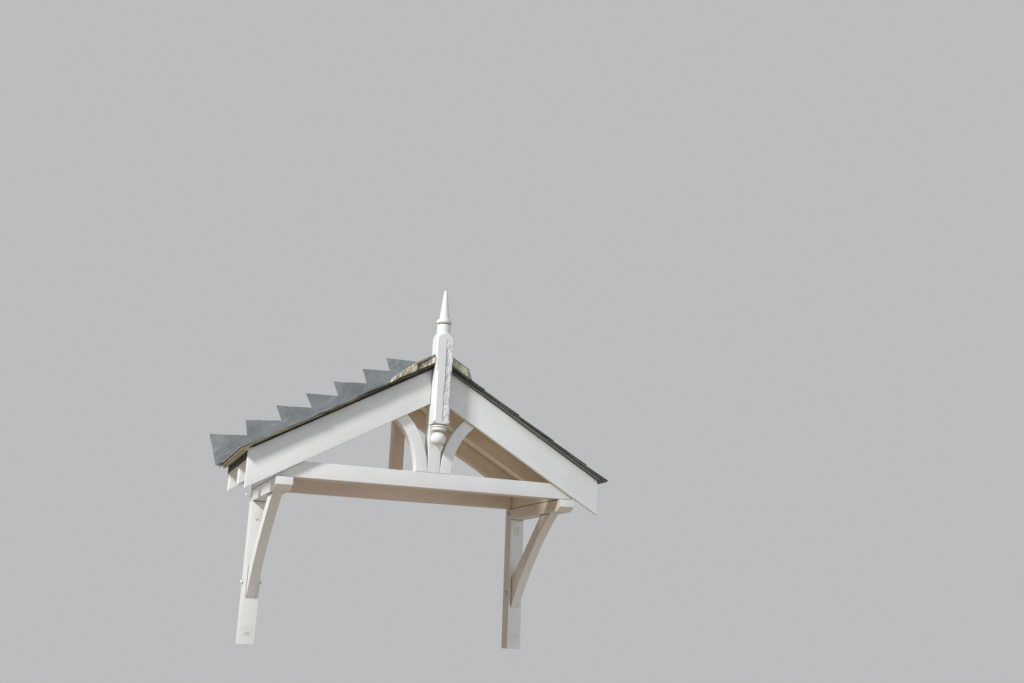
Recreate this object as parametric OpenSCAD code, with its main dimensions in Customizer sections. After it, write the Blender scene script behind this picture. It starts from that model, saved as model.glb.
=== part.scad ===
// Gabled timber porch canopy on two gallows brackets, fixed to a brick wall over a door.
// X runs along the wall, the wall face is Y = 0 and the canopy stands out towards -Y, Z is up.
// The origin is the centre of the rear tie beam's back face.

/* [Brackets] */
// Distance over the outer faces of the two wall posts
bracket_span = 1360; // [1000:10:1800]
// Width and depth of a wall post
post_w = 70; // [50:1:100]
// Length of a wall post below its arm
post_len = 627; // [560:1:900]
// Width of a bracket arm
arm_w = 70; // [52:1:110]
// Depth of a bracket arm
arm_h = 55; // [40:1:90]
// Reach of a bracket arm in front of the truss
arm_nose = 20; // [8:1:60]
// Length of the cut under the front end of an arm
arm_cut_len = 33; // [10:1:50]
// Height of the cut under the front end of an arm
arm_cut_h = 20; // [5:1:30]
// Width of a brace
brace_w = 42; // [30:1:50]
// Distance from the post to the brace along the arm
brace_inner_run = 325; // [250:5:350]
// Length of the brace's seat on the arm
brace_seat_top = 105; // [70:5:120]
// Distance from the arm down to the brace on the post
brace_inner_drop = 290; // [200:5:320]
// Length of the brace's seat on the post
brace_seat_foot = 142; // [90:2:180]
// Hollow of the brace's lower edge at its middle
brace_hollow = 28; // [5:1:35]
// Diameter of an oak peg
peg_d = 16; // [10:1:24]
// Length of a peg that shows beyond the timber
peg_proud = 12; // [4:1:25]
// Length of the top peg that shows at the outer side of an arm
peg_out = 27; // [4:1:40]

/* [Truss] */
// Distance from the wall to the front face of the front truss
truss_front = 610; // [560:5:1000]
// Height of a tie beam
tie_h = 68; // [50:1:120]
// Thickness of a tie beam from front to back
tie_t = 70; // [45:1:100]
// Width of a king post
king_w = 58; // [40:1:70]
// Thickness of a king post from front to back
king_t = 58; // [40:1:70]
// Width of a curved strut across its curve
strut_w = 53; // [35:1:70]
// Thickness of a curved strut from front to back
strut_t = 45; // [30:1:60]
// Radius of a curved strut's middle line
strut_r = 314; // [250:2:500]
// Width of a side plate on the arm
plate_w = 70; // [40:1:90]
// Depth of a rafter across its slope
rafter_h = 70; // [50:1:90]
// Thickness of a rafter from front to back
rafter_t = 45; // [30:1:70]
// Depth of the rafters' notch over the tie beams
seat_cut = 22.5; // [12:0.5:34]
// Distance from the side of the brackets out to the ends of the roof boards
eaves_reach = 122; // [90:1:200]
// Distance that the rafter feet stay behind the ends of the roof boards
rafter_set = 14; // [4:1:40]

/* [Roof] */
// Slope of the roof in degrees
pitch = 29.5; // [26:0.5:35]
// Overhang of the slates past the ends of the roof boards
eave_overhang = 41; // [20:1:70]
// Overhang of the slates past the front of the truss
verge_overhang = 54; // [45:1:80]
// Thickness of the roof boards
deck_t = 18; // [12:1:25]
// Thickness of a slate batten
batten_t = 25; // [19:1:38]
// Width of a slate batten
batten_w = 38; // [25:1:50]
// Length of the eaves course of slates that shows
first_gauge = 129; // [80:1:200]
// Length of each further course that shows
gauge = 200; // [150:5:220]
// Thickness of one slate
slate_t = 4; // [3.5:0.5:8]
// Thickness of the undercloak strip
cloak_t = 5; // [3:0.5:8]
// Thickness of the verge mortar
verge_mortar_t = 5; // [4:0.5:14]
// Distance that the undercloak stays behind the slate edge
cloak_set = 8; // [4:1:15]
// Distance that the verge mortar stays behind the slate edge
mortar_set = 14; // [6:1:20]
// Width of a ridge tile wing, measured level
ridge_wing = 126; // [90:1:160]
// Thickness of a ridge tile
ridge_t = 11; // [8:1:16]
// Thickness of the mortar bed under the ridge tiles
ridge_bed_t = 22; // [8:1:30]
// Joint between two ridge tiles
ridge_joint = 4; // [2:1:10]
// Reach of the left mortar daub at the front past the ridge tiles
left_daub_reach = 100; // [20:1:180]
// Reach of the right mortar daub at the front past the ridge tiles
right_daub_reach = 20; // [12:1:180]
// Thickness of the daub against the ridge tiles
daub_t = 30; // [5:1:32]
// Thickness of the daub at its outer end, over the slates' tails
daub_toe = 9; // [1:1:20]
// Depth of the daub from its front back towards the wall
daub_depth = 60; // [30:5:120]

/* [Boards] */
// Width of a bargeboard
barge_w = 137; // [100:1:180]
// Thickness of a bargeboard
barge_t = 20; // [15:1:28]

/* [Finial] */
// Width of the finial's square stock
finial_w = 75; // [70:1:90]
// Height of the finial's tip above the ridge tiles
finial_rise = 283; // [260:1:400]
// Diameter of the blunt tip
tip_d = 14; // [8:1:20]
// Length of the spire
spire_len = 138; // [80:1:160]
// Diameter of the spire at its foot
spire_d = 46; // [30:1:56]
// Diameter of the collar
collar_d = 70; // [60:1:74]
// Height of the collar
collar_h = 24; // [16:1:36]
// Diameter of the barrel under the collar
barrel_d = 62; // [50:1:66]
// Height of the barrel
barrel_h = 42; // [30:1:60]
// Height of the shoulder between barrel and square block
shoulder_h = 42; // [25:1:60]
// Bulge of the shoulder's outline
shoulder_bow = 5; // [1:0.5:8]
// Length of the square block
block_len = 130; // [110:5:200]
// Length of the chamfered shaft
shaft_len = 246; // [150:2:260]
// Width of the shaft chamfer, measured along the face
chamfer = 19; // [8:1:22]
// Height of the small shoulder at the shaft's foot
foot_shoulder_h = 12; // [6:1:20]
// Height of the two beads over the drop
bead_h = 28; // [20:1:40]
// Diameter of the beads
bead_d = 70; // [60:1:74]
// Diameter of the round drop
drop_d = 68; // [50:1:74]
// Height of the round drop
drop_h = 62; // [50:1:80]

/* [Leadwork] */
// Height of one brick course with its joint
course = 78; // [70:0.5:90]
// Height of the top step above the ridge tiles
top_step_rise = 105; // [80:1:160]
// Distance from the middle to the nose of the top step
top_nose = 66; // [50:1:100]
// Undercut of each step
step_slant = 32; // [0:1:40]
// Thickness of the lead sheet
lead_t = 2.5; // [1.8:0.1:4]
// Width of the lead apron on the slates
apron_w = 150; // [75:5:200]

/* [Hidden] */
$fn = 64;
slack = 0.2;              // running clearance round a peg
fin_gap = 1;              // clearance of slates, mortar and ridge round the finial
cut_over = 1;             // how far a cutting solid passes a face

tie_top = tie_h / 2;
arm_top = -tie_h / 2;
arm_low = arm_top - arm_h;
post_foot = arm_low - post_len;
post_x = bracket_span / 2 - post_w / 2;
arm_reach = truss_front + arm_nose;

board_front = truss_front + barge_t;
slate_front = truss_front + verge_overhang;
eaves_x = bracket_span / 2 + eaves_reach;
roof_half = eaves_x + eave_overhang;
rafter_foot = eaves_x - rafter_set;
finial_back = truss_front;
finial_y = -(finial_back + finial_w / 2);

deck_top = -batten_t;
rafter_top = deck_top - deck_t;
rafter_low = rafter_top - rafter_h;
slate_top = 3 * slate_t;
ridge_bed_top = slate_top + ridge_bed_t;
ridge_top = ridge_bed_top + ridge_t;
barge_top = -(cloak_t + verge_mortar_t);
barge_low = barge_top - barge_w;

// Height at distance x from the middle, up measured square to the slope from the slates' underside.
// The rafters' lower edge is seat_cut under the top of the tie beam at the side of the brackets.
function roof_z(x, up = 0) = let(seat = tie_top - seat_cut)
    seat + (bracket_span / 2 - x) * tan(pitch) + (up - rafter_low) / cos(pitch);

crest = roof_z(0, ridge_top);

// Heights of the finial's turnings, from the tip down
finial_top = crest + finial_rise;
spire_foot = finial_top - spire_len;
collar_foot = spire_foot - collar_h;
barrel_foot = collar_foot - barrel_h;
block_top = barrel_foot - shoulder_h;
block_foot = block_top - block_len;
shaft_foot = block_foot - shaft_len;
drop_top = shaft_foot - bead_h;

wood_white = "#f1efe8";
shade_white = "#ddd6c6";
oak = "#d8cfba";
slate_grey = "#4b5054";
mortar_buff = "#b3a37f";
lead_grey = "#8b9096";

// Distance from the middle to the tails of course i, and how many courses reach the ridge
function tail_x(i) = roof_half - (i == 0 ? 0 : first_gauge + (i - 1) * gauge) * cos(pitch);
course_count = ceil((roof_half / cos(pitch) - first_gauge) / gauge) + 1;

// The flashing's steps follow the brick courses at the roof's own slope, down past the eaves
step_run = course / tan(pitch);
step_count = ceil((roof_half - top_nose) / step_run) + 1;

// Placing helpers
module on_side(side) {
    mirror([side < 0 ? 1 : 0, 0, 0]) children();
}

// An outline in X and Z, drawn out from one distance off the wall to another
module from_wall(near, far) {
    translate([0, -near, 0]) rotate([90, 0, 0]) linear_extrude(far - near) children();
}

// An outline in Y and Z, drawn out along X about x
module along_x(x, width) {
    translate([x - width / 2, 0, 0]) rotate([90, 0, 90]) linear_extrude(width) children();
}

// A slab that follows the slope, between two distances from the middle and two heights
module slope_slab(x_in, x_out, low, high) {
    polygon([
        [x_in, roof_z(x_in, low)],
        [x_out, roof_z(x_out, low)],
        [x_out, roof_z(x_out, high)],
        [x_in, roof_z(x_in, high)]
    ]);
}

// The space that the finial takes in the roof's front edge
module finial_notch() {
    half = finial_w / 2 + fin_gap;
    low = roof_z(0, barge_low);
    translate([-half, -slate_front - cut_over, low])
        cube([2 * half, slate_front + cut_over - finial_back + fin_gap, finial_top - low]);
}

// A peg hole through timber at one side
module peg_hole(y, z) {
    along_x(post_x, arm_w + 2 * cut_over) translate([y, z]) circle(d = peg_d + 2 * slack);
}

// Where the pegs are: Y and Z of the arm-to-post peg, the brace's upper peg and its foot peg
peg_top = [-post_w / 2, arm_top - arm_h / 2];
peg_arm = [-post_w - brace_inner_run - brace_seat_top / 2, arm_top - arm_h / 2];
peg_foot = [-post_w / 2, arm_low - brace_inner_drop - brace_seat_foot / 2];

module wall_post(side) {
    color(wood_white) on_side(side) difference() {
        translate([post_x - post_w / 2, -post_w, post_foot]) cube([post_w, post_w, post_len]);
        peg_hole(peg_foot[0], peg_foot[1]);
    }
}

module bracket_arm(side) {
    color(wood_white) on_side(side) difference() {
        along_x(post_x, arm_w) polygon([
            [0, arm_top],
            [-arm_reach, arm_top],
            [-arm_reach, arm_low + arm_cut_h],
            [-arm_reach + arm_cut_len, arm_low],
            [0, arm_low]
        ]);
        peg_hole(peg_top[0], peg_top[1]);
        peg_hole(peg_arm[0], peg_arm[1]);
    }
}

// Straight on its upper edge, hollowed to a long arc on its lower one
module bracket_brace(side) {
    upper = [-post_w - brace_inner_run - brace_seat_top, arm_low];
    lower = [-post_w, arm_low - brace_inner_drop - brace_seat_foot];
    chord = norm(upper - lower);
    radius = (chord * chord / 4 + brace_hollow * brace_hollow) / (2 * brace_hollow);
    across = [lower[1] - upper[1], upper[0] - lower[0]] / chord;
    centre = (upper + lower) / 2 + across * (radius - brace_hollow);
    color(wood_white) on_side(side) along_x(post_x, brace_w) difference() {
        polygon([
            upper,
            [-post_w - brace_inner_run, arm_low],
            [-post_w, arm_low - brace_inner_drop],
            lower
        ]);
        translate(centre) circle(r = radius, $fn = 720);
    }
}

module peg(length) {
    bevel = peg_d / 8;
    cylinder(h = length - bevel, d = peg_d);
    translate([0, 0, length - bevel]) cylinder(h = bevel, d1 = peg_d, d2 = peg_d - 2 * bevel);
}

// A peg that shows at both sides, drawn from the timber's middle each way
module through_peg(place, timber_w, inner, outer) {
    for (way = [-1, 1])
        translate([post_x, place[0], place[1]]) rotate([0, 90 * way, 0])
            peg(timber_w / 2 + (way < 0 ? inner : outer));
}

module bracket_pegs(side) {
    color(oak) on_side(side) {
        through_peg(peg_top, arm_w, peg_proud, peg_out);
        through_peg(peg_arm, arm_w, 1, 1);
        through_peg(peg_foot, post_w, peg_proud, peg_proud);
    }
}

module tie_beam(near) {
    color(wood_white) translate([-bracket_span / 2, -near - tie_t, -tie_h / 2])
        cube([bracket_span, tie_t, tie_h]);
}

module king_post(near) {
    half = king_w / 2;
    color(wood_white) from_wall(near, near + king_t) polygon([
        [-half, tie_top],
        [half, tie_top],
        [half, roof_z(half, rafter_top)],
        [0, roof_z(0, rafter_top)],
        [-half, roof_z(half, rafter_top)]
    ]);
}

// Rises upright beside the king post and bends out under the rafter
module curved_strut(side) {
    start = king_w / 2 + strut_w / 2;
    color(wood_white) on_side(side) from_wall(truss_front - strut_t, truss_front) intersection() {
        translate([start + strut_r, tie_top]) difference() {
            circle(r = strut_r + strut_w / 2, $fn = 360);
            circle(r = strut_r - strut_w / 2, $fn = 360);
        }
        polygon([
            [king_w / 2, tie_top],
            [start + strut_r, tie_top],
            [start + strut_r, roof_z(start + strut_r, rafter_low)],
            [king_w / 2, roof_z(king_w / 2, rafter_low)]
        ]);
    }
}

module side_plate(side) {
    color(wood_white) on_side(side)
        translate([bracket_span / 2 - plate_w, -truss_front + tie_t, arm_top])
            cube([plate_w, truss_front - 2 * tie_t, tie_h]);
}

// Notched over the tie beam or the side plate, its head against a king post or its fellow
module rafter(side, near, head) {
    color(wood_white) on_side(side) from_wall(near, near + rafter_t) difference() {
        slope_slab(head, rafter_foot, rafter_low, rafter_top);
        translate([0, -tie_h / 2]) square([bracket_span / 2, tie_h]);
    }
}

module bargeboard(side) {
    color(wood_white) on_side(side) from_wall(truss_front, board_front)
        slope_slab(finial_w / 2, eaves_x, barge_low, barge_top);
}

// Points along part of an ellipse about a centre, from one angle to another
function arc_points(centre, rx, rz, from, to, parts) = [
    for (i = [0 : parts]) let(a = from + (to - from) * i / parts) centre + [rx * cos(a), rz * sin(a)]
];

// Points of a slightly bowed line from one point of a profile to another
function bowed(from, to, bow, parts = 5) = let(
    run = to - from,
    side = [-run[1], run[0]] / norm(run)
) [for (i = [0 : parts]) let(t = i / parts) from + run * t + side * bow * 4 * t * (1 - t)];

// What the lathe leaves, from the tip down to the drop; the square stock cuts off its widest part
function lathe_profile() = let(
    rim = collar_h / 2,
    groove = collar_h / 8,
    reach = finial_w / sqrt(2) + cut_over,
    bead = bead_h / 6,
    neck = bead_d / 2 - bead
) concat(
    [
        [0, finial_top],
        [tip_d / 4, finial_top],
        [tip_d / 2, finial_top - tip_d / 4],
        [spire_d / 2, spire_foot + groove]
    ],
    arc_points([collar_d / 2 - rim, collar_foot + rim], rim, rim, 90, -90, 8),
    [
        [barrel_d / 2 - groove, collar_foot - groove / 2],
        [barrel_d / 2, collar_foot - groove]
    ],
    bowed([barrel_d / 2, barrel_foot], [reach, block_top], shoulder_bow),
    bowed([reach, shaft_foot + foot_shoulder_h], [neck, shaft_foot], shoulder_bow / 2),
    arc_points([neck, drop_top + 3 * bead_h / 4], bead, bead, 90, -90, 6),
    arc_points([neck, drop_top + bead_h / 4], bead, bead, 90, -90, 6),
    [[drop_d / 4, drop_top]],
    arc_points([0, drop_top - drop_h / 2], drop_d / 2, drop_h / 2, 60, -90, 15)
);

// A cut along one corner of the shaft that runs out square at both ends
module corner_cut() {
    corner = finial_w / sqrt(2);
    depth = chamfer / sqrt(2);
    past = depth + cut_over;
    rotate([90, 0, 0]) translate([0, 0, -finial_w / 2]) linear_extrude(finial_w) polygon([
        [corner - depth, shaft_foot + foot_shoulder_h + chamfer],
        [corner + cut_over, shaft_foot + foot_shoulder_h + chamfer - past],
        [corner + cut_over, block_foot - chamfer + past],
        [corner - depth, block_foot - chamfer]
    ]);
}

module finial() {
    drop_foot = drop_top - drop_h;
    color(wood_white) translate([0, finial_y, 0]) difference() {
        intersection() {
            rotate_extrude() polygon(lathe_profile());
            translate([-finial_w / 2, -finial_w / 2, drop_foot - cut_over])
                cube([finial_w, finial_w, finial_top - drop_foot + 2 * cut_over]);
        }
        for (turn = [45 : 90 : 315]) rotate([0, 0, turn]) corner_cut();
    }
}

module roof_boards(side) {
    color(shade_white) on_side(side) from_wall(0, truss_front)
        slope_slab(0, eaves_x, rafter_top, deck_top);
}

module slate_battens(side) {
    width = batten_w * cos(pitch);
    color(oak) on_side(side) from_wall(0, truss_front - 2 * cloak_t)
        for (i = [0 : course_count - 1]) {
            low = tail_x(i) - eave_overhang;
            if (low > width) slope_slab(low - width, low, deck_top, 0);
        }
}

module undercloak(side) {
    color(slate_grey) on_side(side) from_wall(truss_front, slate_front - cloak_set)
        slope_slab(finial_w / 2 + fin_gap, eaves_x, barge_top, barge_top + cloak_t);
}

module verge_mortar(side) {
    color(mortar_buff) on_side(side) from_wall(truss_front, slate_front - mortar_set)
        slope_slab(finial_w / 2 + fin_gap, eaves_x, barge_top + cloak_t, 0);
}

// All courses of one slope from the side, each tail lying three slates thick over the battens
module slate_outline() {
    tails = [for (i = [0 : course_count - 1]) if (tail_x(i) > 0) tail_x(i)];
    polygon(concat(
        [[0, roof_z(0)], [roof_half, roof_z(roof_half)]],
        [for (i = [0 : len(tails) - 1]) each [
            if (i > 0) [tails[i], roof_z(tails[i], slate_top - slate_t)],
            [tails[i], roof_z(tails[i], slate_top)]
        ]],
        [[0, roof_z(0, slate_top - slate_t)]]
    ));
}

module slates(side) {
    color(slate_grey) on_side(side) difference() {
        from_wall(0, slate_front) slate_outline();
        finial_notch();
    }
}

// Both wings of the ridge between two heights over the slates' underside
module ridge_outline(low, high) {
    polygon([
        [-ridge_wing, roof_z(ridge_wing, low)],
        [0, roof_z(0, low)],
        [ridge_wing, roof_z(ridge_wing, low)],
        [ridge_wing, roof_z(ridge_wing, high)],
        [0, roof_z(0, high)],
        [-ridge_wing, roof_z(ridge_wing, high)]
    ]);
}

// Fills the space between the slates and the ridge tiles
module ridge_bed() {
    difference() {
        ridge_outline(slate_top - slate_t, ridge_bed_top);
        for (side = [-1, 1]) mirror([side < 0 ? 1 : 0, 0]) slate_outline();
    }
}

// Trowelled over the edge of the slates beside the front ridge tile, thinner outwards.
// Its inner end runs a little way into the bed, so that the two are one piece.
module front_daub(reach) {
    toe = ridge_wing + reach;
    inner = ridge_wing - cut_over;
    key_top = slate_top + min(ridge_bed_t, daub_t);
    difference() {
        polygon([
            [inner, roof_z(inner, slate_top - slate_t)],
            [toe, roof_z(toe, slate_top - slate_t)],
            [toe, roof_z(toe, slate_top + daub_toe)],
            [ridge_wing, roof_z(ridge_wing, slate_top + daub_t)],
            [ridge_wing, roof_z(ridge_wing, key_top)],
            [inner, roof_z(inner, key_top)]
        ]);
        slate_outline();
    }
}

module ridge_mortar() {
    front = slate_front - cloak_set;
    color(mortar_buff) difference() {
        union() {
            from_wall(0, front) ridge_bed();
            on_side(-1) from_wall(front - daub_depth, front) front_daub(left_daub_reach);
            on_side(1) from_wall(front - daub_depth, front) front_daub(right_daub_reach);
        }
        finial_notch();
    }
}

module ridge_tiles() {
    half_run = slate_front / 2;
    color(slate_grey) difference() {
        union() {
            from_wall(0, half_run - ridge_joint / 2) ridge_outline(ridge_bed_top, ridge_top);
            from_wall(half_run + ridge_joint / 2, slate_front) ridge_outline(ridge_bed_top, ridge_top);
        }
        finial_notch();
    }
}

module lead_apron(side) {
    color(lead_grey) on_side(side) from_wall(0, apron_w)
        slope_slab(ridge_wing + fin_gap, roof_half, slate_top, slate_top + lead_t);
}

function nose_x(i) = top_nose + i * step_run;
function step_z(i) = crest + top_step_rise - i * course;

// A sheet on the wall, stepped up one brick course at a time, its foot on the apron or the ridge
module stepped_flashing(side) {
    foot = roof_half + step_slant / 4;
    sheet = slate_top + lead_t;
    color(lead_grey) on_side(side) from_wall(0, lead_t) polygon(concat(
        [
            [0, crest],
            [0, step_z(0)],
            [nose_x(0), step_z(0)]
        ],
        [for (i = [1 : step_count - 1]) each [
            [nose_x(i - 1) - step_slant, step_z(i)],
            [nose_x(i), step_z(i)]
        ]],
        [
            [foot, roof_z(foot, sheet)],
            [ridge_wing, roof_z(ridge_wing, sheet)],
            [ridge_wing, roof_z(ridge_wing, ridge_top)]
        ]
    ));
}

module lead_saddle() {
    color(lead_grey) from_wall(lead_t, apron_w) ridge_outline(ridge_top, ridge_top + lead_t);
}

wall_post(-1);  // left_wall_post
wall_post(1);  // right_wall_post
bracket_arm(-1);  // left_bracket_arm
bracket_arm(1);  // right_bracket_arm
bracket_brace(-1);  // left_bracket_brace
bracket_brace(1);  // right_bracket_brace
bracket_pegs(-1);  // left_bracket_pegs
bracket_pegs(1);  // right_bracket_pegs
tie_beam(truss_front - tie_t);  // front_tie_beam
tie_beam(0);  // rear_tie_beam
king_post(truss_front - king_t);  // front_king_post
king_post(0);  // rear_king_post
curved_strut(-1);  // left_curved_strut
curved_strut(1);  // right_curved_strut
side_plate(-1);  // left_side_plate
side_plate(1);  // right_side_plate
rafter(-1, truss_front - rafter_t, king_w / 2);  // front_left_rafter
rafter(1, truss_front - rafter_t, king_w / 2);  // front_right_rafter
rafter(-1, (truss_front - rafter_t) / 2, 0);  // middle_left_rafter
rafter(1, (truss_front - rafter_t) / 2, 0);  // middle_right_rafter
rafter(-1, 0, king_w / 2);  // rear_left_rafter
rafter(1, 0, king_w / 2);  // rear_right_rafter
bargeboard(-1);  // left_bargeboard
bargeboard(1);  // right_bargeboard
finial();
roof_boards(-1);  // left_roof_boards
roof_boards(1);  // right_roof_boards
slate_battens(-1);  // left_slate_battens
slate_battens(1);  // right_slate_battens
undercloak(-1);  // left_undercloak
undercloak(1);  // right_undercloak
verge_mortar(-1);  // left_verge_mortar
verge_mortar(1);  // right_verge_mortar
slates(-1);  // left_slates
slates(1);  // right_slates
ridge_mortar();
ridge_tiles();
lead_apron(-1);  // left_lead_apron
lead_apron(1);  // right_lead_apron
stepped_flashing(-1);  // left_stepped_flashing
stepped_flashing(1);  // right_stepped_flashing
lead_saddle();
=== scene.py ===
import bmesh
import bpy
import math
import numpy as np
from mathutils import Matrix, Vector, noise
from mathutils.geometry import delaunay_2d_cdt


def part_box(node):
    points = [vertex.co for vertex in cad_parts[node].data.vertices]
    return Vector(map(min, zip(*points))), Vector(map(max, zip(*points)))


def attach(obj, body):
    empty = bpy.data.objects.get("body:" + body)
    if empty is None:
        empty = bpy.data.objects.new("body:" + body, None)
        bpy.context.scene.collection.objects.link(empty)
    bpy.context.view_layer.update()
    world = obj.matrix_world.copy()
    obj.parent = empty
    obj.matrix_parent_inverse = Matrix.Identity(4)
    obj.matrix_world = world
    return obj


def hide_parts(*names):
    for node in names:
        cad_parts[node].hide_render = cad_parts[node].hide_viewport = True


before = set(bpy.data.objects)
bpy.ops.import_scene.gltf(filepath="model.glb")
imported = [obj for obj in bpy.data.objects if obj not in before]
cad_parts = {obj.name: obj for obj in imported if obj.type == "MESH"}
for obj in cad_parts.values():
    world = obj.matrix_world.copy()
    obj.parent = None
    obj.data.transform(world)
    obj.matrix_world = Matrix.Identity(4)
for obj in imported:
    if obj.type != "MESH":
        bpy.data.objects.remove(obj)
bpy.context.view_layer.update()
print("frame loaded:", len(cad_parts), "nodes")

# The view of the photograph, in metres in the frame of the model
view = {
    "place": Vector((-1.391, -4.698, -0.540)),
    "yaw": math.radians(23.09),       # turned to the right of square on
    "pitch": math.radians(15.35),     # looking up at the canopy
    "roll": math.radians(-1.95),
    "lens": 34.58, "sensor": 36,      # in millimetres
}

# Light and surroundings
studio = {
    "ground": -2.24,                  # floor level under the canopy
    "floorSize": 36,
    "floorColour": (0.60, 0.55, 0.48, 1), "floorRough": 0.9,
    "backdrop": (0.50, 0.505, 0.51, 1),
    "skyLight": 0.375,
    "skyTint": (0.88, 0.96, 1.07, 1),
    "key": {"from": (-4.67, -2.63, 3.10), "size": 0.9, "power": 350, "tint": (1, 0.985, 0.955)},
    "fill": {"from": (3.2, -5.2, 0.4), "size": 3.5, "power": 40, "tint": (1, 1, 1)},
    "aim": (0, -0.35, 0.1),
}


def newObject(name, data):
    made = bpy.data.objects.new(name, data)
    bpy.context.scene.collection.objects.link(made)
    return made


def placeCamera():
    lens = bpy.data.cameras.new("photographView")
    lens.lens = view["lens"]
    lens.sensor_width = view["sensor"]
    camera = newObject("photographView", lens)
    cy, sy = math.cos(view["yaw"]), math.sin(view["yaw"])
    cp, sp = math.cos(view["pitch"]), math.sin(view["pitch"])
    cr, sr = math.cos(view["roll"]), math.sin(view["roll"])
    ahead = Vector((sy * cp, cy * cp, sp))
    right = Vector((cy, -sy, 0))
    down = ahead.cross(right)
    across = right * cr + down * sr
    below = down * cr - right * sr
    turn = Matrix((across, -below, -ahead)).transposed().to_4x4()
    camera.matrix_world = Matrix.Translation(view["place"]) @ turn
    bpy.context.scene.camera = camera


def softLamp(name, lamp):
    light = bpy.data.lights.new(name, "AREA")
    light.shape = "SQUARE"
    light.size = lamp["size"]
    light.energy = lamp["power"]
    light.color = lamp["tint"]
    holder = newObject(name, light)
    holder.location = lamp["from"]
    towards = Vector(studio["aim"]) - Vector(lamp["from"])
    holder.rotation_euler = towards.to_track_quat("-Z", "Y").to_euler()


# Small helpers for node trees
def addNode(tree, kind, settings={}, inputs={}):
    made = tree.nodes.new(kind)
    for key, value in settings.items():
        setattr(made, key, value)
    for key, value in inputs.items():
        if isinstance(value, bpy.types.NodeSocket):
            tree.links.new(value, made.inputs[key])
        else:
            made.inputs[key].default_value = value
    return made


def noiseOf(tree, vector, scale, detail=4, rough=0.55, stretch=(1, 1, 1), distort=0):
    mapped = addNode(tree, "ShaderNodeMapping", {}, {"Vector": vector, "Scale": stretch})
    made = addNode(tree, "ShaderNodeTexNoise", {}, {
        "Vector": mapped.outputs[0], "Scale": scale, "Detail": detail,
        "Roughness": rough, "Distortion": distort})
    return made.outputs["Fac"]


def cellsOf(tree, vector, scale):
    return addNode(tree, "ShaderNodeTexVoronoi", {}, {"Vector": vector, "Scale": scale}).outputs["Distance"]


def rampOf(tree, value, low, high, toLow=0, toHigh=1):
    made = addNode(tree, "ShaderNodeMapRange", {"interpolation_type": "SMOOTHSTEP"}, {
        "Value": value, "From Min": low, "From Max": high, "To Min": toLow, "To Max": toHigh})
    return made.outputs[0]


def mathOf(tree, kind, first, second=0):
    return addNode(tree, "ShaderNodeMath", {"operation": kind}, {0: first, 1: second}).outputs[0]


def tintOf(tree, amount, first, second):
    made = addNode(tree, "ShaderNodeMix", {"data_type": "RGBA"}, {0: amount, 6: first, 7: second})
    return made.outputs[2]


# A tone laid over the colour where a mask passes from low to high
def stained(tree, colour, tone, mask, low, high, share=1):
    return tintOf(tree, rampOf(tree, mask, low, high, 0, share), colour, tone)


def attributeOf(tree, name, kind="Fac"):
    return addNode(tree, "ShaderNodeAttribute", {"attribute_name": name}).outputs[kind]


def partOf(tree, vector, axis):
    return addNode(tree, "ShaderNodeSeparateXYZ", {}, {0: vector}).outputs[axis]


def facingOf(tree, axis):
    return partOf(tree, addNode(tree, "ShaderNodeNewGeometry").outputs["Normal"], axis)


def opennessOf(tree, reach, inside=False):
    made = addNode(tree, "ShaderNodeAmbientOcclusion", {"samples": 6, "inside": inside}, {"Distance": reach})
    return made.outputs["AO"]


def startMaterial(name):
    material = bpy.data.materials.new(name)
    material.use_nodes = True
    tree = material.node_tree
    return material, tree, addNode(tree, "ShaderNodeTexCoord").outputs["Object"]


# Colour, roughness and bumps; each bump is a height, a strength and a depth, and lies over the one before
def finishMaterial(material, colour, rough, *bumps):
    tree, normal = material.node_tree, {}
    for height, strength, depth in bumps:
        made = addNode(tree, "ShaderNodeBump", {}, {
            "Height": height, "Strength": strength, "Distance": depth, **normal})
        normal = {"Normal": made.outputs[0]}
    shader = tree.nodes["Principled BSDF"]
    for key, value in {"Base Color": colour, "Roughness": rough, **normal}.items():
        tree.links.new(value, shader.inputs[key])
    return material


def buildStudio():
    world = bpy.data.worlds.new("softStudio")
    bpy.context.scene.world = world
    world.use_nodes = True
    tree = world.node_tree
    tree.nodes.clear()
    ray = addNode(tree, "ShaderNodeLightPath").outputs
    seen = mathOf(tree, "MAXIMUM", ray["Is Camera Ray"], ray["Is Glossy Ray"])
    seen = mathOf(tree, "MAXIMUM", seen, ray["Is Transmission Ray"])
    dim = addNode(tree, "ShaderNodeBackground", {},
                  {"Color": studio["skyTint"], "Strength": studio["skyLight"]})
    pale = addNode(tree, "ShaderNodeBackground", {}, {"Color": studio["backdrop"], "Strength": 1})
    mix = addNode(tree, "ShaderNodeMixShader", {}, {0: seen, 1: dim.outputs[0], 2: pale.outputs[0]})
    addNode(tree, "ShaderNodeOutputWorld", {}, {"Surface": mix.outputs[0]})
    half = studio["floorSize"] / 2
    corners = [(-half, -half, 0), (half, -half, 0), (half, half, 0), (-half, half, 0)]
    mesh = bpy.data.meshes.new("studioFloor")
    mesh.from_pydata(corners, [], [(0, 1, 2, 3)])
    floor = newObject("studioFloor", mesh)
    floor.location = (0, 0, studio["ground"])
    paper = bpy.data.materials.new("studioPaper")
    paper.use_nodes = True
    shader = paper.node_tree.nodes["Principled BSDF"]
    shader.inputs["Base Color"].default_value = studio["floorColour"]
    shader.inputs["Roughness"].default_value = studio["floorRough"]
    mesh.materials.append(paper)
    softLamp("keyLight", studio["key"])
    softLamp("fillLight", studio["fill"])


placeCamera()
buildStudio()
bpy.context.scene.view_settings.view_transform = "Standard"
print("camera and studio set")

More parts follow.
